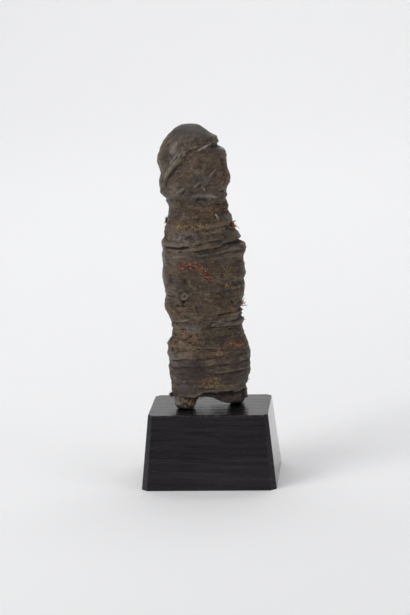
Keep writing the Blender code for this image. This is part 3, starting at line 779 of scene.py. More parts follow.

# Hollows and ridges, from how the surface lies against its own blurred copies; the shader paints shade into
# the hollows and lightens the ridges, partly as painted highlight. Then where the cloth is ochre, red,
# blue-grey with painted sheen in places, dusty, sooty or in painted shade, and where light lines of wear and
# painted highlight run.
hollow = np.clip((soften(Skin.out, 3) - Skin.out) / 0.42, -1, 1)
hollow = hollow + 0.8 * np.clip((soften(Skin.out, 9) - Skin.out) / 0.9, -1, 1)
ochre = patches(
    (1, -12, 109.2, 17, 2.6, 101), (1.5, -34, 41.5, 11, 5.4, 102, 0.6), (1.3, -42, 46.8, 7, 1.8, 98, 0.4),
    (1, -18, 77.6, 1.6, 1.0, 103), (1, 50, 83.0, 3.2, 2.6, 104), (1, 48, 75.4, 1.8, 1.4, 105),
    (1, 22, 15.0, 11, 0.9, 106), (1, 60, 78.6, 3.6, 1.0, 107), (1, 21, 35.2, 6.5, 1.7, 108),
    (1, 56, 60.0, 3.2, 3.0, 109), (0.8, -46, 101.0, 8.0, 2.6, 110), (0.5, 18, 147.6, 6.0, 3.0, 111),
    (0.7, 10, 17.6, 9, 3.4, 112), (0.6, -150, 60, 14, 9, 113), (0.6, 140, 105, 12, 4, 114),
    (0.6, 170, 34, 14, 6, 115), (0.5, -70, 56, 8, 6, 116), (0.5, 38, 118.4, 6, 4, 117),
    (0.7, 62, 122.6, 5, 1.2, 118), (0.45, 0, 113, 20, 9, 119, 0.5), (0.4, 52, 138, 9, 11, 120, 0.5),
    (0.35, 30, 66, 12, 8, 99, 0.6),
)
red = patches(
    (1, -26, 87.4, 7.0, 1.7, 121), (1, 7, 83.0, 3.2, 3.4, 122), (1, 13, 79.6, 3.2, 2.6, 123),
    (1.1, -43, 46.8, 4.6, 1.8, 124), (1, 56, 40.0, 6.0, 2.0, 125), (1.2, 74, 109.6, 3.0, 2.6, 126),
    (0.5, 4, 18.6, 6.0, 3.2, 127), (0.55, 70, 136.0, 4.0, 6.0, 128), (1, 88, 62.0, 3.6, 4.0, 129),
    (1, 66, 118.4, 4.0, 1.8, 130), (0.5, 82, 102, 4, 8, 133), (0.4, -2, 148.6, 5.0, 2.2, 131),
    (0.6, 80, 88.0, 4.0, 3.0, 132),
)
# Blue-grey patches: partly the cloth's own slate colour, partly painted sheen at the left margin, the left of
# the head and the lumpy chest patch.
slate = patches(
    (1, -28, 50.4, 6, 1.8, 142, 0.3), (1, 37, 53.6, 4, 1.6, 143, 0.3),
    (1.3, 24, 126.2, 10, 2.0, 144, 0.2), (1, 24, 136.4, 4.0, 2.6, 145, 0.2),
    (0.6, 74, 150.5, 4, 5, 146, 0.3), (0.6, -76, 120, 6, 12, 148, 0.2),
    (1.1, -30, 101.8, 9, 4.2, 149, 0.3), (1, -76, 84, 4.5, 16, 150, 0.2), (0.7, -60, 31, 6, 4, 151, 0.3),
    (0.6, 120, 80, 16, 10, 152, 0.3), (0.6, -120, 130, 14, 10, 153, 0.3),
    (0.8, -50, 15.0, 6, 3, 154, 0.3), (0.6, -140, 20, 16, 6, 155, 0.3),
)


def along_line(path, half_width, strength):
    """A thin line from 0 to 1 that follows the path."""
    near, _, along, length = beside(path)
    ends = smooth_step(along, 0, 1.5) * (1 - smooth_step(along, length - 1.5, length))
    uneven = 0.75 + 0.5 * crumple(180, height, 70, 1.2)
    return strength * ends * np.exp(-((near / half_width) ** 2)) * uneven


# Thin light lines along fold crests, the cap and strip edges, the knot's rim and a light thread: mostly
# painted highlights, partly worn crust.
rubbed = np.maximum.reduce(
    [along_line(path, half_width, strength) for path, half_width, strength in (
        (((19, 153.2), (34, 154.7), (54, 156.4)), 0.36, 1.3),
        (((50, 142.9), (39, 140.2), (32, 137.5)), 0.34, 1.2), (((17, 136.0), (6, 132.3)), 0.34, 0.9),
        (((-11, 132.4), (-29, 128.9)), 0.42, 0.9),
        (((-14, 149.8), (-24, 147.6), (-36, 144.1), (-46, 140.4), (-52, 136.4), (-58, 131.6)), 0.7, 0.45),
        (((-18, 153.4), (-23, 151.2), (-29, 148.4), (-36, 145.6)), 0.42, 1.3),
        (((-20, 149.6), (-28, 146.6), (-38, 142.8)), 0.5, 1.0),
        (((-12, 152.6), (-24, 152.6), (-36, 147.6)), 1.6, 0.45), (((-2, 85.8), (8, 84.4)), 0.7, 0.8),
        (((-24, 159), (-29, 156), (-36, 151.0)), 1.8, 0.5),
        (((26, 127.2), (38, 127.0), (50, 125.8)), 0.8, 1.1),
        (((-74, 90.2), (-39, 92.1), (-13, 92.3), (18, 93.3), (51, 95.5), (75, 95.4)), 0.5, 0.4),
        (((-57, 53.4), (-32, 54.9)), 0.32, 1.0), (((-6, 126.4), (6, 126.6), (14, 127.2)), 0.4, 0.5),
        (((-66, 27.3), (-50, 28.4)), 0.4, 0.5), (((36, 14.2), (44, 13.8)), 0.45, 1.0),
        (((6, 15.0), (40, 14.4)), 0.35, 0.5), (((-72, 95), (-73, 84), (-70, 74)), 1.6, 0.35),
    )]
    + [
        along_line([(-20.5 + 3 * k, 149.0 + 0.35 * k), (-17.1 + 3 * k, 151.9 + 0.35 * k)], 0.30, 1.6)
        for k in range(5)
    ]
    + [0.25 * np.exp(-(((near_knot - 1.35) / 0.5) ** 2))]
)
dust = patches(
    (1, 8, 107.6, 26, 2.8, 191, 0.5), (1.2, 66, 107.6, 6, 4.0, 192, 0.3),
    (1.2, -42, 47.4, 9, 2.4, 193, 0.4), (1.1, -28, 93.8, 8, 2.6, 194, 0.4),
    (0.9, -52, 84, 4.5, 9, 195, 0.3), (0.9, -60, 71, 5, 5, 196, 0.4), (0.9, -38, 36.4, 6, 4.0, 197, 0.5),
    (0.6, -66, 152, 5, 8, 198, 0.3), (0.7, 30, 127.4, 7, 2.2, 199, 0.3),
    (1.2, -34, 129.6, 9, 4.4, 200, 0.3), (0.8, -30, 107, 12, 4, 201, 0.5),
    (0.8, 2, 85.0, 4.5, 2.4, 202, 0.4), (0.9, -22, 89.6, 9, 2.4, 212, 0.4),
    (0.9, 52, 90.0, 7, 3.4, 213, 0.5), (0.4, 2, 76, 10, 5, 214, 0.5), (0.9, -74, 66, 4, 5, 218, 0.3),
    (0.7, -38, 125.2, 7, 2, 219, 0.3), (1, 62, 55, 6, 4, 203, 0.4), (0.8, 6, 99.6, 10, 1.8, 204, 0.4),
    (0.9, 62, 8.0, 7, 3.0, 205, 0.5), (0.5, 18, 146, 9, 7, 209, 0.6), (0.6, 14, 130.6, 5, 2.6, 210, 0.5),
    (0.7, 60, 14.0, 7, 3.4, 211, 0.5), (0.7, -150, 112, 16, 8, 206, 0.5), (0.6, 150, 66, 16, 8, 207, 0.5),
    (0.6, -170, 40, 16, 6, 208, 0.5),
)
# Dark patches: soot and grime on the cloth, and painted shade in some folds and just above the hem.
soot = patches(
    (0.8, 24, 164.2, 5.5, 2.2, 161, 0.3), (0.6, -54, 78, 6.5, 8, 162, 0.5),
    (0.5, -37, 77.5, 5, 7, 163, 0.5), (1.1, -26, 25.0, 13, 5.0, 164, 0.4),
    (0.7, 8, 13.8, 13, 1.5, 186, 0.3), (0.7, -50, 132, 4, 8, 165, 0.4), (1, 72, 118.4, 3, 2.0, 166, 0.3),
    (0.6, 60, 99.6, 9, 2.0, 167, 0.5), (0.6, 20, 44, 12, 2.0, 168, 0.5),
    (0.6, 30, 27.5, 10, 2.4, 169, 0.6), (0.5, 84, 24, 5, 10, 170, 0.4),
    (0.8, -64, 10.5, 6, 2.2, 171, 0.3), (0.6, 46, 70, 4, 3, 172, 0.5),
    (0.6, 12, 104.0, 18, 1.4, 173, 0.5), (1.2, 10, 93.0, 10, 2.6, 178, 0.2),
    (0.6, -78, 104, 5, 4, 179, 0.3), (0.9, -6, 167, 24, 6, 180, 0.2), (0.6, 30, 161, 7, 3, 187, 0.3),
    (0.7, 48, 163, 6, 4, 190, 0.3), (0.8, 72, 154.6, 5, 2, 215, 0.2), (0.6, -80, 137, 4, 9, 216, 0.3),
    (0.5, 8, 116.4, 6, 2, 217, 0.5), (0.5, 40, 152, 8, 2, 188, 0.3), (0.6, -36, 56.5, 8, 1.4, 181, 0.5),
    (0.5, -60, 116, 7, 4, 182, 0.5), (0.5, -8, 123.4, 10, 1.6, 183, 0.5),
    (1.1, 12, 125.0, 4, 1.1, 189, 0.1), (0.6, 30, 88.6, 12, 1.6, 184, 0.5),
    (0.6, 2, 74, 9, 2.4, 185, 0.6), (0.6, -20, 93.6, 12, 1.2, 174, 0.5), (0.6, 160, 120, 12, 8, 175, 0.4),
    (0.6, -150, 90, 14, 5, 176, 0.4), (0.6, 130, 52, 14, 5, 177, 0.4),
)
# The bare layer under the outer hem is painted dark as shade, darkest at its top just under the overhanging
# edge.
soot = np.maximum(soot, bare * (0.10 + 1.20 * smooth_step(height, hem_line - 3.6, hem_line - 1.2)))


def cloth_places(out):
    """Points of the skin, in metres."""
    radius = reach + out
    return np.stack(
        [
            (row_shift[:, None] + radius * sine) / MM,
            (-row_forward[:, None] - radius * cosine) / MM,
            PLINTH_TOP + height / MM + 0 * turn,
        ],
        axis=2,
    )


skin_places = cloth_places(Skin.out)


def on_cloth(at_turn, at_height, proud=0.0):
    """The point of the finished skin at a turn and height, standing that many mm proud of it."""
    place = np.interp(at_turn, column_turns, np.arange(COLUMNS))
    column = min(int(place), COLUMNS - 2)
    part = place - column
    heights = height[:, column] * (1 - part) + height[:, column + 1] * part
    place = np.interp(at_height, heights, np.arange(SKIN_ROWS))
    row = min(int(place), SKIN_ROWS - 2)
    rise = place - row
    point = (
        skin_places[row, column] * (1 - part) * (1 - rise) + skin_places[row, column + 1] * part * (1 - rise)
        + skin_places[row + 1, column] * (1 - part) * rise + skin_places[row + 1, column + 1] * part * rise
    )
    away = math.radians(at_turn)
    return Vector(point) + Vector((math.sin(away), -math.cos(away), 0)) * proud / MM


def wrapped_cloth():
    """Rolls a flat grid round the body: pocket roof, inner wall, turned hem, skin and crown in one piece."""
    inner = skin_places[0].copy()
    centre = np.array([row_shift[0] / MM, -row_forward[0] / MM, 0])
    made = []
    out_from = inner - centre
    out_from[:, 2] = 0
    thin = 1 - WALL / MM / np.linalg.norm(out_from, axis=1)[:, None]
    foot = PLINTH_TOP + height[0] / MM
    roof = PLINTH_TOP + POCKET_ROOF / MM
    for share, rise in ((0.0, 0.6), (0.35, 0.5), (0.7, 0.2), (0.93, 0.0)):
        ring = centre + out_from * thin * share
        ring[:, 2] = PLINTH_TOP + (POCKET_ROOF + rise) / MM
        made.append(ring)
    for drop in (0.98, 0.8, 0.6, 0.4, 0.2, 0.06):
        ring = centre + out_from * thin
        ring[:, 2] = foot + (roof - foot) * drop
        made.append(ring)
    for share, lift in ((0.85, 0.00010), (0.5, -0.00022), (0.15, -0.00008)):
        ring = centre + out_from * (thin * share + 1 - share)
        ring[:, 2] = foot + lift
        made.append(ring)
    places = np.concatenate([np.array(made), skin_places])
    pocket_rows = len(made)
    places[-1] = places[-1].mean(axis=0)
    places[0] = places[0].mean(axis=0)
    total_rows = len(places)
    cloth = bmesh.new()
    bmesh.ops.create_grid(cloth, x_segments=COLUMNS, y_segments=total_rows - 1, size=0.5)
    fields = {}
    # The pocket rows, inside the hem where the legs go in, are painted dark all over as shade.
    for name, inside, field in (
        ("hollow", 0.9, hollow), ("tint", -0.6, Skin.tint), ("ochre", 0.0, ochre), ("red", 0.0, red),
        ("slate", 0.0, slate), ("soot", 1.3, soot), ("dust", 0.0, dust), ("rubbed", 0.0, rubbed),
    ):
        fields[name] = np.concatenate([np.full((pocket_rows, COLUMNS), inside), field])
    layers = {name: cloth.verts.layers.float.new(name) for name in fields}
    spread = np.concatenate([np.tile(Skin.along[0], (pocket_rows, 1)), Skin.along])
    climb_up = np.concatenate([np.tile(Skin.across[0], (pocket_rows, 1)), Skin.across])
    where = {}
    for corner in cloth.verts:
        column = round((corner.co.x + 0.5) * COLUMNS)
        row = round((corner.co.y + 0.5) * (total_rows - 1))
        where[corner.index] = (row, column)
        column %= COLUMNS
        corner.co = places[row, column]
        for name, layer in layers.items():
            corner[layer] = fields[name][row, column]
    lay = cloth.loops.layers.uv.new("laid")
    for face in cloth.faces:
        for loop in face.loops:
            row, column = where[loop.vert.index]
            loop[lay].uv = (spread[row, column % COLUMNS] / MM, climb_up[row, column % COLUMNS] / MM)
    bmesh.ops.remove_doubles(cloth, verts=cloth.verts, dist=1e-7)
    bmesh.ops.recalc_face_normals(cloth, faces=cloth.faces)
    return shaped("wound_cloth", cloth, hard_dark_cloth(), "cloth_wrapping")


def hard_dark_cloth():
    cloth = Finish("hard_dark_cloth", Specular_IOR_Level=0.4, Coat_Roughness=0.30)
    laid = add_node(cloth.tree, "ShaderNodeUVMap", {"uv_map": "laid"}, {})
    along, across, _ = cloth.parts(laid)
    hollow_here = cloth.spread("hollow")
    deep = hollow_here.between(0.22, 1.35)
    proud = (hollow_here * -1.0).between(0.15, 1.05)
    tint_here = cloth.spread("tint")
    _, _, z = cloth.parts(cloth.place)
    up = z - PLINTH_TOP
    cloudy = cloth.noise(cloth.place, 95.0, 4.0, 0.62)
    mottle = cloth.noise(cloth.scaled(cloth.place, (420, 420, 620)), 1.0, 4.0, 0.68)
    grit = cloth.noise(cloth.place, 1500.0, 3.0, 0.7)
    streaks = cloth.noise(cloth.scaled(laid, (110, 620, 1)), 1.0, 4.0, 0.66, 0.9)
    fibres = cloth.noise(cloth.scaled(laid, (330, 2300, 1)), 1.0, 3.0, 0.65, 1.1)
    # Tabby weave: threads over and under, clearest where the crust is thin.
    pitch = 2 * math.pi / THREAD_PITCH
    warp = (along * pitch).maths("SINE")
    weft = (across * pitch).maths("SINE")
    weave = (warp * weft) * 0.5 + 0.5
    bare_weave = mottle.between(0.44, 0.62)
    tone = cloth.ramp(
        cloudy * 0.42 + streaks * 0.58,
        (0.36, (0.0120, 0.0070, 0.0045)),
        (0.45, (0.0430, 0.0255, 0.0140)),
        (0.54, (0.0930, 0.0580, 0.0325)),
        (0.64, (0.1850, 0.1290, 0.0800)),
    )
    blotch = cloth.noise(cloth.scaled(cloth.place, (150, 150, 260)), 1.0, 3.0, 0.6).between(0.50, 0.62)
    brown = cloth.noise(cloth.place, 75.0, 3.0, 0.6).between(0.50, 0.66)
    skirt = 1.0 - up.between(0.024, 0.036)
    fibrous = cloth.noise(cloth.scaled(cloth.place, (60, 60, 95)), 1.0, 3.0, 0.6).between(0.42, 0.60)
    threads = fibres.between(0.46, 0.60)
    rust = cloth.noise(cloth.scaled(laid, (240, 1300, 1)), 1.0, 2.0, 0.6, 0.8).between(0.60, 0.70)
    highlight_and_wear_here = cloth.spread("rubbed")
    light_grit = (1.0 - grit).between(0.58, 0.72)
    head = up.between(0.124, 0.134)
    crown = up.between(0.158, 0.168)
    for share, colour in (
        ((tint_here * 0.5 + 0.5).limited() * 0.25, (0.1100, 0.0760, 0.0480)),
        (mottle.between(0.50, 0.60) * 0.74, (0.0240, 0.0150, 0.0105)),
        (blotch * 0.62, (0.0250, 0.0160, 0.0110)),
        (brown * 0.5, (0.0900, 0.0470, 0.0220)),
        (skirt * 0.60, (0.0480, 0.0330, 0.0265)),
        # Blue-grey colour, partly painted sheen.
        (cloth.spread("slate") * 0.74, (0.0740, 0.0740, 0.0780)),
        (cloth.spread("ochre") * (0.15 + threads * 0.60), (0.2150, 0.1180, 0.0430)),
        (cloth.spread("red") * (0.10 + threads * 0.65), (0.1700, 0.0380, 0.0160)),
        (fibres.between(0.56, 0.68) * (0.08 + fibrous * 0.62), (0.2700, 0.1950, 0.1250)),
        ((1.0 - fibres).between(0.56, 0.66) * (0.25 + fibrous * 0.45), (0.0130, 0.0085, 0.0065)),
        (rust * (0.25 + brown * 0.6), (0.1500, 0.0620, 0.0220)),
        # Ridges painted lighter: partly worn crust, partly painted highlight.
        (proud * (0.12 + fibres * 0.8), (0.2000, 0.1580, 0.1180)),
        (cloth.spread("dust") * (0.16 + streaks * 0.55), (0.2100, 0.1650, 0.1200)),
        ((cloth.spread("soot") * 0.66).limited(), (0.0150, 0.0105, 0.0090)),
        # Painted shade in the hollows and creases.
        (deep * 0.80, (0.0110, 0.0075, 0.0058)),
        # Painted highlights and worn crust along the light lines.
        ((highlight_and_wear_here * (0.40 + streaks * 0.5)).limited(), (0.3000, 0.2650, 0.2250)),
        (grit.between(0.56, 0.70) * 0.60, (0.0170, 0.0110, 0.0080)),
        (light_grit * 0.36, (0.2500, 0.1950, 0.1450)),
        # Darker towards the crown.
        (up.between(0.154, 0.169) * 0.66, (0.0280, 0.0225, 0.0170)),
    ):
        tone = cloth.mix(share, tone, colour)
    waxed = (head * 0.18 * (1.0 - crown) + cloth.spread("slate") * 0.35 + 0.04) * (1.0 - deep)
    roughness = 0.52 + mottle * 0.22 + deep * 0.16 - proud * 0.06
    roughness = roughness - head * 0.08 - cloth.spread("slate") * 0.12 - highlight_and_wear_here * 0.14
    heights = (
        (mottle, 0.42, 0.00045),
        (streaks, 0.42, 0.00030),
        (weave * bare_weave + fibres * 0.5, 0.55, 0.00014),
        (grit, 0.35, 0.00010),
    )
    return cloth.finish(tone, roughness, heights, waxed)


wrapped_cloth()


# Loose threads, five pieces: frayed ends of the strips that stand a little off the wrapping. Red and ochre
# yarn shows in small patches, pale fibres lie all over, dark ends hang from the hem and the edges, and a few
# pale scraps stick to the front. The hardened cloth that they come from holds them.
def plain_yarn(name, colour, dark_colour, light_colour):
    yarn = Finish(name)
    tone = yarn.mix(yarn.noise(yarn.place, 700.0, 2.0, 0.6).between(0.44, 0.56), dark_colour, colour)
    tone = yarn.mix(yarn.noise(yarn.place, 1150.0, 1.0, 0.6).between(0.56, 0.64), tone, light_colour)
    twist = yarn.noise(yarn.place, 3800.0, 2.0, 0.6)
    return yarn.finish(tone, twist * 0.2 + 0.75, ((twist, 0.5, 0.00006),))


def loose_threads(name, runs, thick, material, sides=5):
    """Thin tubes along runs of points, all with as many points, made together ring by ring."""
    yarn = bmesh.new()
    run_of = yarn.verts.layers.int.new("run")
    corner_of = yarn.verts.layers.int.new("corner")
    last = len(runs[0]) - 1
    for k in range(len(runs)):
        made = bmesh.ops.create_circle(yarn, cap_ends=True, radius=1, segments=sides)["verts"]
        for corner, point in enumerate(made):
            point[run_of] = k
            point[corner_of] = corner
    ring = set(yarn.verts)
    for step in range(last + 1):
        if step:
            edges = [edge for edge in yarn.edges if edge.verts[0] in ring and edge.verts[1] in ring]
            made = bmesh.ops.extrude_edge_only(yarn, edges=edges)["geom"]
            ring = {part for part in made if isinstance(part, bmesh.types.BMVert)}
        width = thick * (0.35, 0.9, 1.0)[min(step, last - step, 2)] / MM
        for point in ring:
            run = runs[point[run_of]]
            ahead = (run[min(step + 1, last)] - run[max(step - 1, 0)]).normalized()
            side = ahead.cross(Vector((0.13, 0.21, 0.97))).normalized()
            angle = 2 * math.pi * point[corner_of] / sides
            point.co = run[step] + (side * math.cos(angle) + ahead.cross(side) * math.sin(angle)) * width
    bmesh.ops.holes_fill(yarn, edges=[edge for edge in yarn.edges if edge.is_boundary], sides=0)
    bmesh.ops.recalc_face_normals(yarn, faces=yarn.faces)
    return shaped(name, yarn, material)


def strewn(draw, at_turn, at_height, wide, high, count, length, tilt=0.0, proud=0.12, wavy=0.3):
    """Short threads scattered over an area, lying along the strips with a little tilt and waviness."""
    runs = []
    for _ in range(count):
        first_turn = at_turn + draw.uniform(-wide, wide)
        first_height = at_height + draw.uniform(-high, high)
        slope = tilt + draw.normal(0, 0.28)
        long = draw.uniform(*length)
        per_turn = float(np.interp(first_height, row_height, row_half_width)) * math.pi / 180
        arch = draw.uniform(0.3, 1.0) * proud * 2
        run = []
        for t in np.linspace(0, 1, 6):
            sideways = (t - 0.5) * long * math.cos(slope) / per_turn
            upward = (t - 0.5) * long * math.sin(slope) + draw.normal(0, wavy) * long * 0.10
            lifted = proud * 0.3 + arch * math.sin(math.pi * t)
            run.append(on_cloth(first_turn + sideways, first_height + upward, lifted))
        runs.append(run)
    return runs


def frays(draw, at_turn, at_height, wide, high, count, length, heading, wavy=0.45):
    """Frayed ends that stand away from the cloth. The heading says how far outwards, sideways and up."""
    runs = []
    for _ in range(count):
        first_turn = at_turn + draw.uniform(-wide, wide)
        angle = math.radians(first_turn)
        out = Vector((math.sin(angle), -math.cos(angle), 0))
        side = Vector((math.cos(angle), math.sin(angle), 0))
        onward = out * heading[0] + side * heading[1] + Vector((0, 0, heading[2]))
        run = [on_cloth(first_turn, at_height + draw.uniform(-high, high), -0.15)]
        stride = draw.uniform(*length) / 5 / MM
        for _ in range(5):
            onward = (onward.normalized() + Vector(draw.normal(0, wavy, 3))).normalized()
            run.append(run[-1] + onward * stride)
            run[-1].z = max(run[-1].z, PLINTH_TOP + 0.0002)
        runs.append(run)
    return runs


draw = np.random.default_rng(2024)


def gathered(*rows):
    """The threads of several areas. A row is strewn or frays, then the values that it takes."""
    return [run for lay, *values in rows for run in lay(draw, *values)]


red_runs = gathered(
    (strewn, -23, 87.0, 17, 2.0, 34, (1.2, 3.6), 0.05, 0.20, 0.6),
    (strewn, -1, 85.0, 7, 2.0, 14, (1.2, 3.0), -0.7, 0.25, 0.6),
    (strewn, 8, 82.0, 7, 2.8, 22, (1.4, 4.0), -0.8, 0.30, 0.7),
    (strewn, 15, 79.0, 4, 1.2, 10, (1.4, 3.4), -0.6, 0.25),
    (strewn, -44, 46.7, 5, 0.8, 8, (1.2, 3.0), 0.1, 0.18),
    (strewn, 54, 39.8, 13, 1.5, 18, (1.4, 4.0), 0.2, 0.22, 0.6),
    (frays, 86, 61.0, 6, 3.2, 16, (3.0, 5.5), (0.9, 0.0, 0.2), 0.8),
    (frays, 82, 107.6, 7, 1.8, 60, (3.6, 7.0), (1.0, 0.1, 0.0), 1.15),
    (strewn, 66, 118.4, 4, 1.2, 6, (1.2, 2.2), 0.4, 0.2),
    (strewn, 66, 137.0, 5, 5.0, 8, (1.0, 2.4), 0.9, 0.12),
)
red_yarn = plain_yarn("red_yarn", (0.380, 0.095, 0.044), (0.100, 0.024, 0.014), (0.620, 0.360, 0.240))
loose_threads("red_threads", red_runs, 0.16, red_yarn)
fray_runs = gathered(
    (frays, -92, 110.6, 5, 1.3, 60, (1.5, 3.4), (1, 0, 0.15), 0.8),
    (frays, -84, 7.0, 12, 0.8, 44, (1.6, 3.6), (0.8, 0.1, -0.6)),
    (frays, -30, 7.9, 26, 0.5, 26, (0.8, 2.0), (0.25, 0, -1)),
    (frays, 10, 10.0, 24, 0.6, 26, (0.8, 2.2), (0.2, 0, -1)),
    (frays, 55, 6.5, 26, 0.8, 20, (0.7, 1.6), (0.3, 0, -1)),
    (frays, -92, 37.8, 4, 0.5, 6, (1.0, 1.8), (1, 0, 0)),
    (frays, 92, 52.3, 4, 0.5, 6, (1.0, 2.0), (1, 0, 0)),
    (frays, 40, 11.6, 44, 0.4, 30, (0.6, 1.5), (0.5, 0, -0.8)),
    (frays, 180, 7.5, 80, 1.5, 40, (0.8, 2.2), (0.3, 0, -1)),
    (frays, 88, 14.0, 8, 2.0, 8, (1.0, 2.0), (0.9, 0, -0.3)),
)
dark_fray = plain_yarn("dark_fray", (0.034, 0.022, 0.015), (0.012, 0.008, 0.006), (0.090, 0.062, 0.040))
loose_threads("dark_frays", fray_runs, 0.14, dark_fray)
scrap_runs = [
    [
        on_cloth(at_turn + 2.4 * t, at_height - long * t, 0.10 + 0.30 * math.sin(math.pi * t))
        for t in np.linspace(0, 1, 6)
    ]
    for at_turn, at_height, long in (
        (44.8, 116.6, 3.4), (46.6, 116.0, 3.6), (48.0, 115.0, 2.2), (25.2, 131.9, 1.5), (26.4, 131.4, 1.2),
    )
]
pale_scrap = plain_yarn("pale_scrap", (0.330, 0.290, 0.235), (0.200, 0.160, 0.115), (0.520, 0.480, 0.420))
loose_threads("pale_scraps", scrap_runs, 0.46, pale_scrap)
ochre_runs = gathered(
    (strewn, -12, 109.0, 34, 1.9, 84, (2.6, 7.5), 0.05, 0.09),
    (strewn, -36, 41.4, 22, 5.0, 60, (1.4, 3.6), 0.1, 0.15, 0.6),
    (strewn, 50, 82.8, 8, 2.6, 24, (2.0, 5.4), -0.55, 0.18),
    (strewn, 48, 75.2, 4, 1.4, 8, (1.4, 3.2), 0.9, 0.18),
    (strewn, 60, 78.6, 8, 0.9, 8, (2.0, 4.0), -0.3, 0.18),
    (strewn, 22, 14.9, 20, 0.5, 12, (3.0, 7.0), -0.02, 0.12),
    (strewn, 8, 18.0, 16, 2.6, 34, (2.4, 6.5), 0.0, 0.09),
    (strewn, 21, 35.2, 13, 1.2, 26, (1.4, 3.4), 0.0, 0.16, 0.7),
    (strewn, 56, 60.0, 7, 2.6, 12, (1.4, 3.0), 0.4, 0.16),
    (strewn, -18, 77.6, 4, 1.0, 5, (1.2, 2.6), -0.8, 0.2),
    (strewn, 40, 118.0, 10, 2.8, 14, (1.6, 3.6), 0.6, 0.12),
    (strewn, -40, 60.0, 14, 5.0, 14, (1.4, 3.2), 0.1, 0.12),
)
ochre_yarn = plain_yarn("ochre_yarn", (0.300, 0.190, 0.090), (0.080, 0.044, 0.020), (0.520, 0.390, 0.230))
loose_threads("ochre_fibres", ochre_runs, 0.10, ochre_yarn)
pale_runs = gathered(
    (strewn, 0, 70.0, 88, 55.0, 190, (1.6, 5.0), 0.03, 0.10),
    (strewn, 0, 142.0, 75, 16.0, 90, (1.6, 5.4), 0.6, 0.08),
    (strewn, -15, 150.5, 10, 3.4, 24, (1.6, 3.6), 0.9, 0.10),
    (strewn, 180, 80.0, 90, 66.0, 60, (1.6, 5.0), 0.03, 0.10),
    (strewn, -44, 54.0, 9, 0.5, 4, (4.0, 6.5), 0.08, 0.14),
    (strewn, 4, 84.4, 8, 2.4, 18, (1.4, 3.2), -0.6, 0.3),
    (strewn, -22, 87.4, 14, 1.6, 12, (1.4, 3.0), 0.1, 0.24),
    (strewn, -32, 101.4, 14, 3.4, 40, (1.6, 4.0), 0.5, 0.13),
    (strewn, 48, 82.6, 6, 2.6, 14, (2.6, 5.4), -0.6, 0.26),
    (strewn, -10, 109.2, 4, 1.8, 8, (1.6, 3.6), -0.9, 0.26),
    (strewn, -42, 46.8, 9, 1.4, 14, (1.4, 3.4), 0.1, 0.2),
)
pale_fibre = plain_yarn("pale_fibre", (0.300, 0.230, 0.160), (0.110, 0.080, 0.055), (0.450, 0.380, 0.290))
loose_threads("pale_fibres", pale_runs, 0.075, pale_fibre, 4)


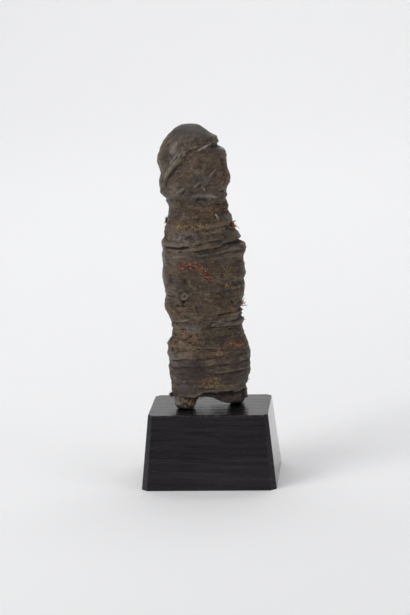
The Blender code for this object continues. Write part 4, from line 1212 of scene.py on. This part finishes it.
# Studio: the white sweep of paper that the piece stands on, soft lights, and the camera of the photograph.
def studio():
    paper = bmesh.new()
    profile = [(-2.6, 0.0), (1.3, 0.0), (1.62, 0.02), (1.84, 0.09), (1.97, 0.24), (2.02, 0.46), (2.02, 2.6)]
    corners = [paper.verts.new((-3.0, y, z)) for y, z in profile]
    edges = [paper.edges.new(pair) for pair in zip(corners[:-1], corners[1:])]
    made = bmesh.ops.extrude_edge_only(paper, edges=edges)["geom"]
    far_side = [part for part in made if isinstance(part, bmesh.types.BMVert)]
    bmesh.ops.translate(paper, vec=(6.0, 0, 0), verts=far_side)
    bmesh.ops.recalc_face_normals(paper, faces=paper.faces)
    data = bpy.data.meshes.new("paper_sweep")
    paper.to_mesh(data)
    paper.free()
    data.polygons.foreach_set("use_smooth", [True] * len(data.polygons))
    sweep = bpy.data.objects.new("paper_sweep", data)
    bpy.context.scene.collection.objects.link(sweep)
    subdivide = sweep.modifiers.new("soft_curve", "SUBSURF")
    subdivide.levels = subdivide.render_levels = 3
    finish = bpy.data.materials.new("white_paper")
    finish.use_nodes = True
    finish.node_tree.nodes["Principled BSDF"].inputs["Base Color"].default_value = (0.89, 0.89, 0.893, 1)
    finish.node_tree.nodes["Principled BSDF"].inputs["Roughness"].default_value = 0.9
    data.materials.append(finish)

    def softbox(name, at, size, power, colour=(1, 1, 1), look=(0, 0, 0.12)):
        lamp = bpy.data.lights.new(name, "AREA")
        lamp.shape = "RECTANGLE"
        lamp.size, lamp.size_y = size
        lamp.energy = power
        lamp.color = colour
        stand = bpy.data.objects.new(name, lamp)
        stand.location = at
        stand.rotation_euler = (Vector(look) - Vector(at)).to_track_quat("-Z", "Y").to_euler()
        bpy.context.scene.collection.objects.link(stand)

    softbox("left_box", (-1.05, -0.75, 1.10), (0.9, 0.9), 12.2)
    softbox("top_box", (0.10, 0.10, 1.55), (1.2, 1.0), 6.5)
    softbox("right_box", (1.25, -0.60, 0.85), (0.8, 1.0), 2.5)
    softbox("paper_wash", (0.0, 1.0, 1.8), (2.6, 0.9), 20.5, look=(0, 2.1, 0.2))
    world = bpy.data.worlds.new("pale_room")
    world.use_nodes = True
    world.node_tree.nodes["Background"].inputs["Color"].default_value = (0.95, 0.96, 1.0, 1)
    world.node_tree.nodes["Background"].inputs["Strength"].default_value = 0.19
    bpy.context.scene.world = world


def camera():
    azimuth, elevation, distance, focal, centre_x, centre_y, roll = (
        0.08808, 0.26180, 1.22785, 2078.5, 207.548, 404.958, 0.03196,
    )
    wide, tall = 410, 615
    back = Vector((
        math.sin(azimuth) * math.cos(elevation),
        -math.cos(azimuth) * math.cos(elevation),
        math.sin(elevation),
    ))
    right = Vector((math.cos(azimuth), math.sin(azimuth), 0))
    up = right.cross(-back)
    aim = Matrix((right, up, back)).transposed()
    pitch = math.atan2(tall / 2 - centre_y, focal)
    yaw = math.atan2(centre_x - wide / 2, focal)
    aim = aim @ Matrix.Rotation(yaw, 3, "Y") @ Matrix.Rotation(-pitch, 3, "X")
    aim = aim @ Matrix.Rotation(-roll, 3, "Z")
    lens = bpy.data.cameras.new("camera")
    lens.sensor_width = 36
    lens.lens = focal * lens.sensor_width / tall
    stand = bpy.data.objects.new("camera", lens)
    stand.matrix_world = Matrix.Translation(Vector((0, 0, PLINTH_TOP)) + back * distance) @ aim.to_4x4()
    bpy.context.scene.collection.objects.link(stand)
    bpy.context.scene.camera = stand


studio()
camera()
bpy.context.scene.view_settings.view_transform = "Standard"
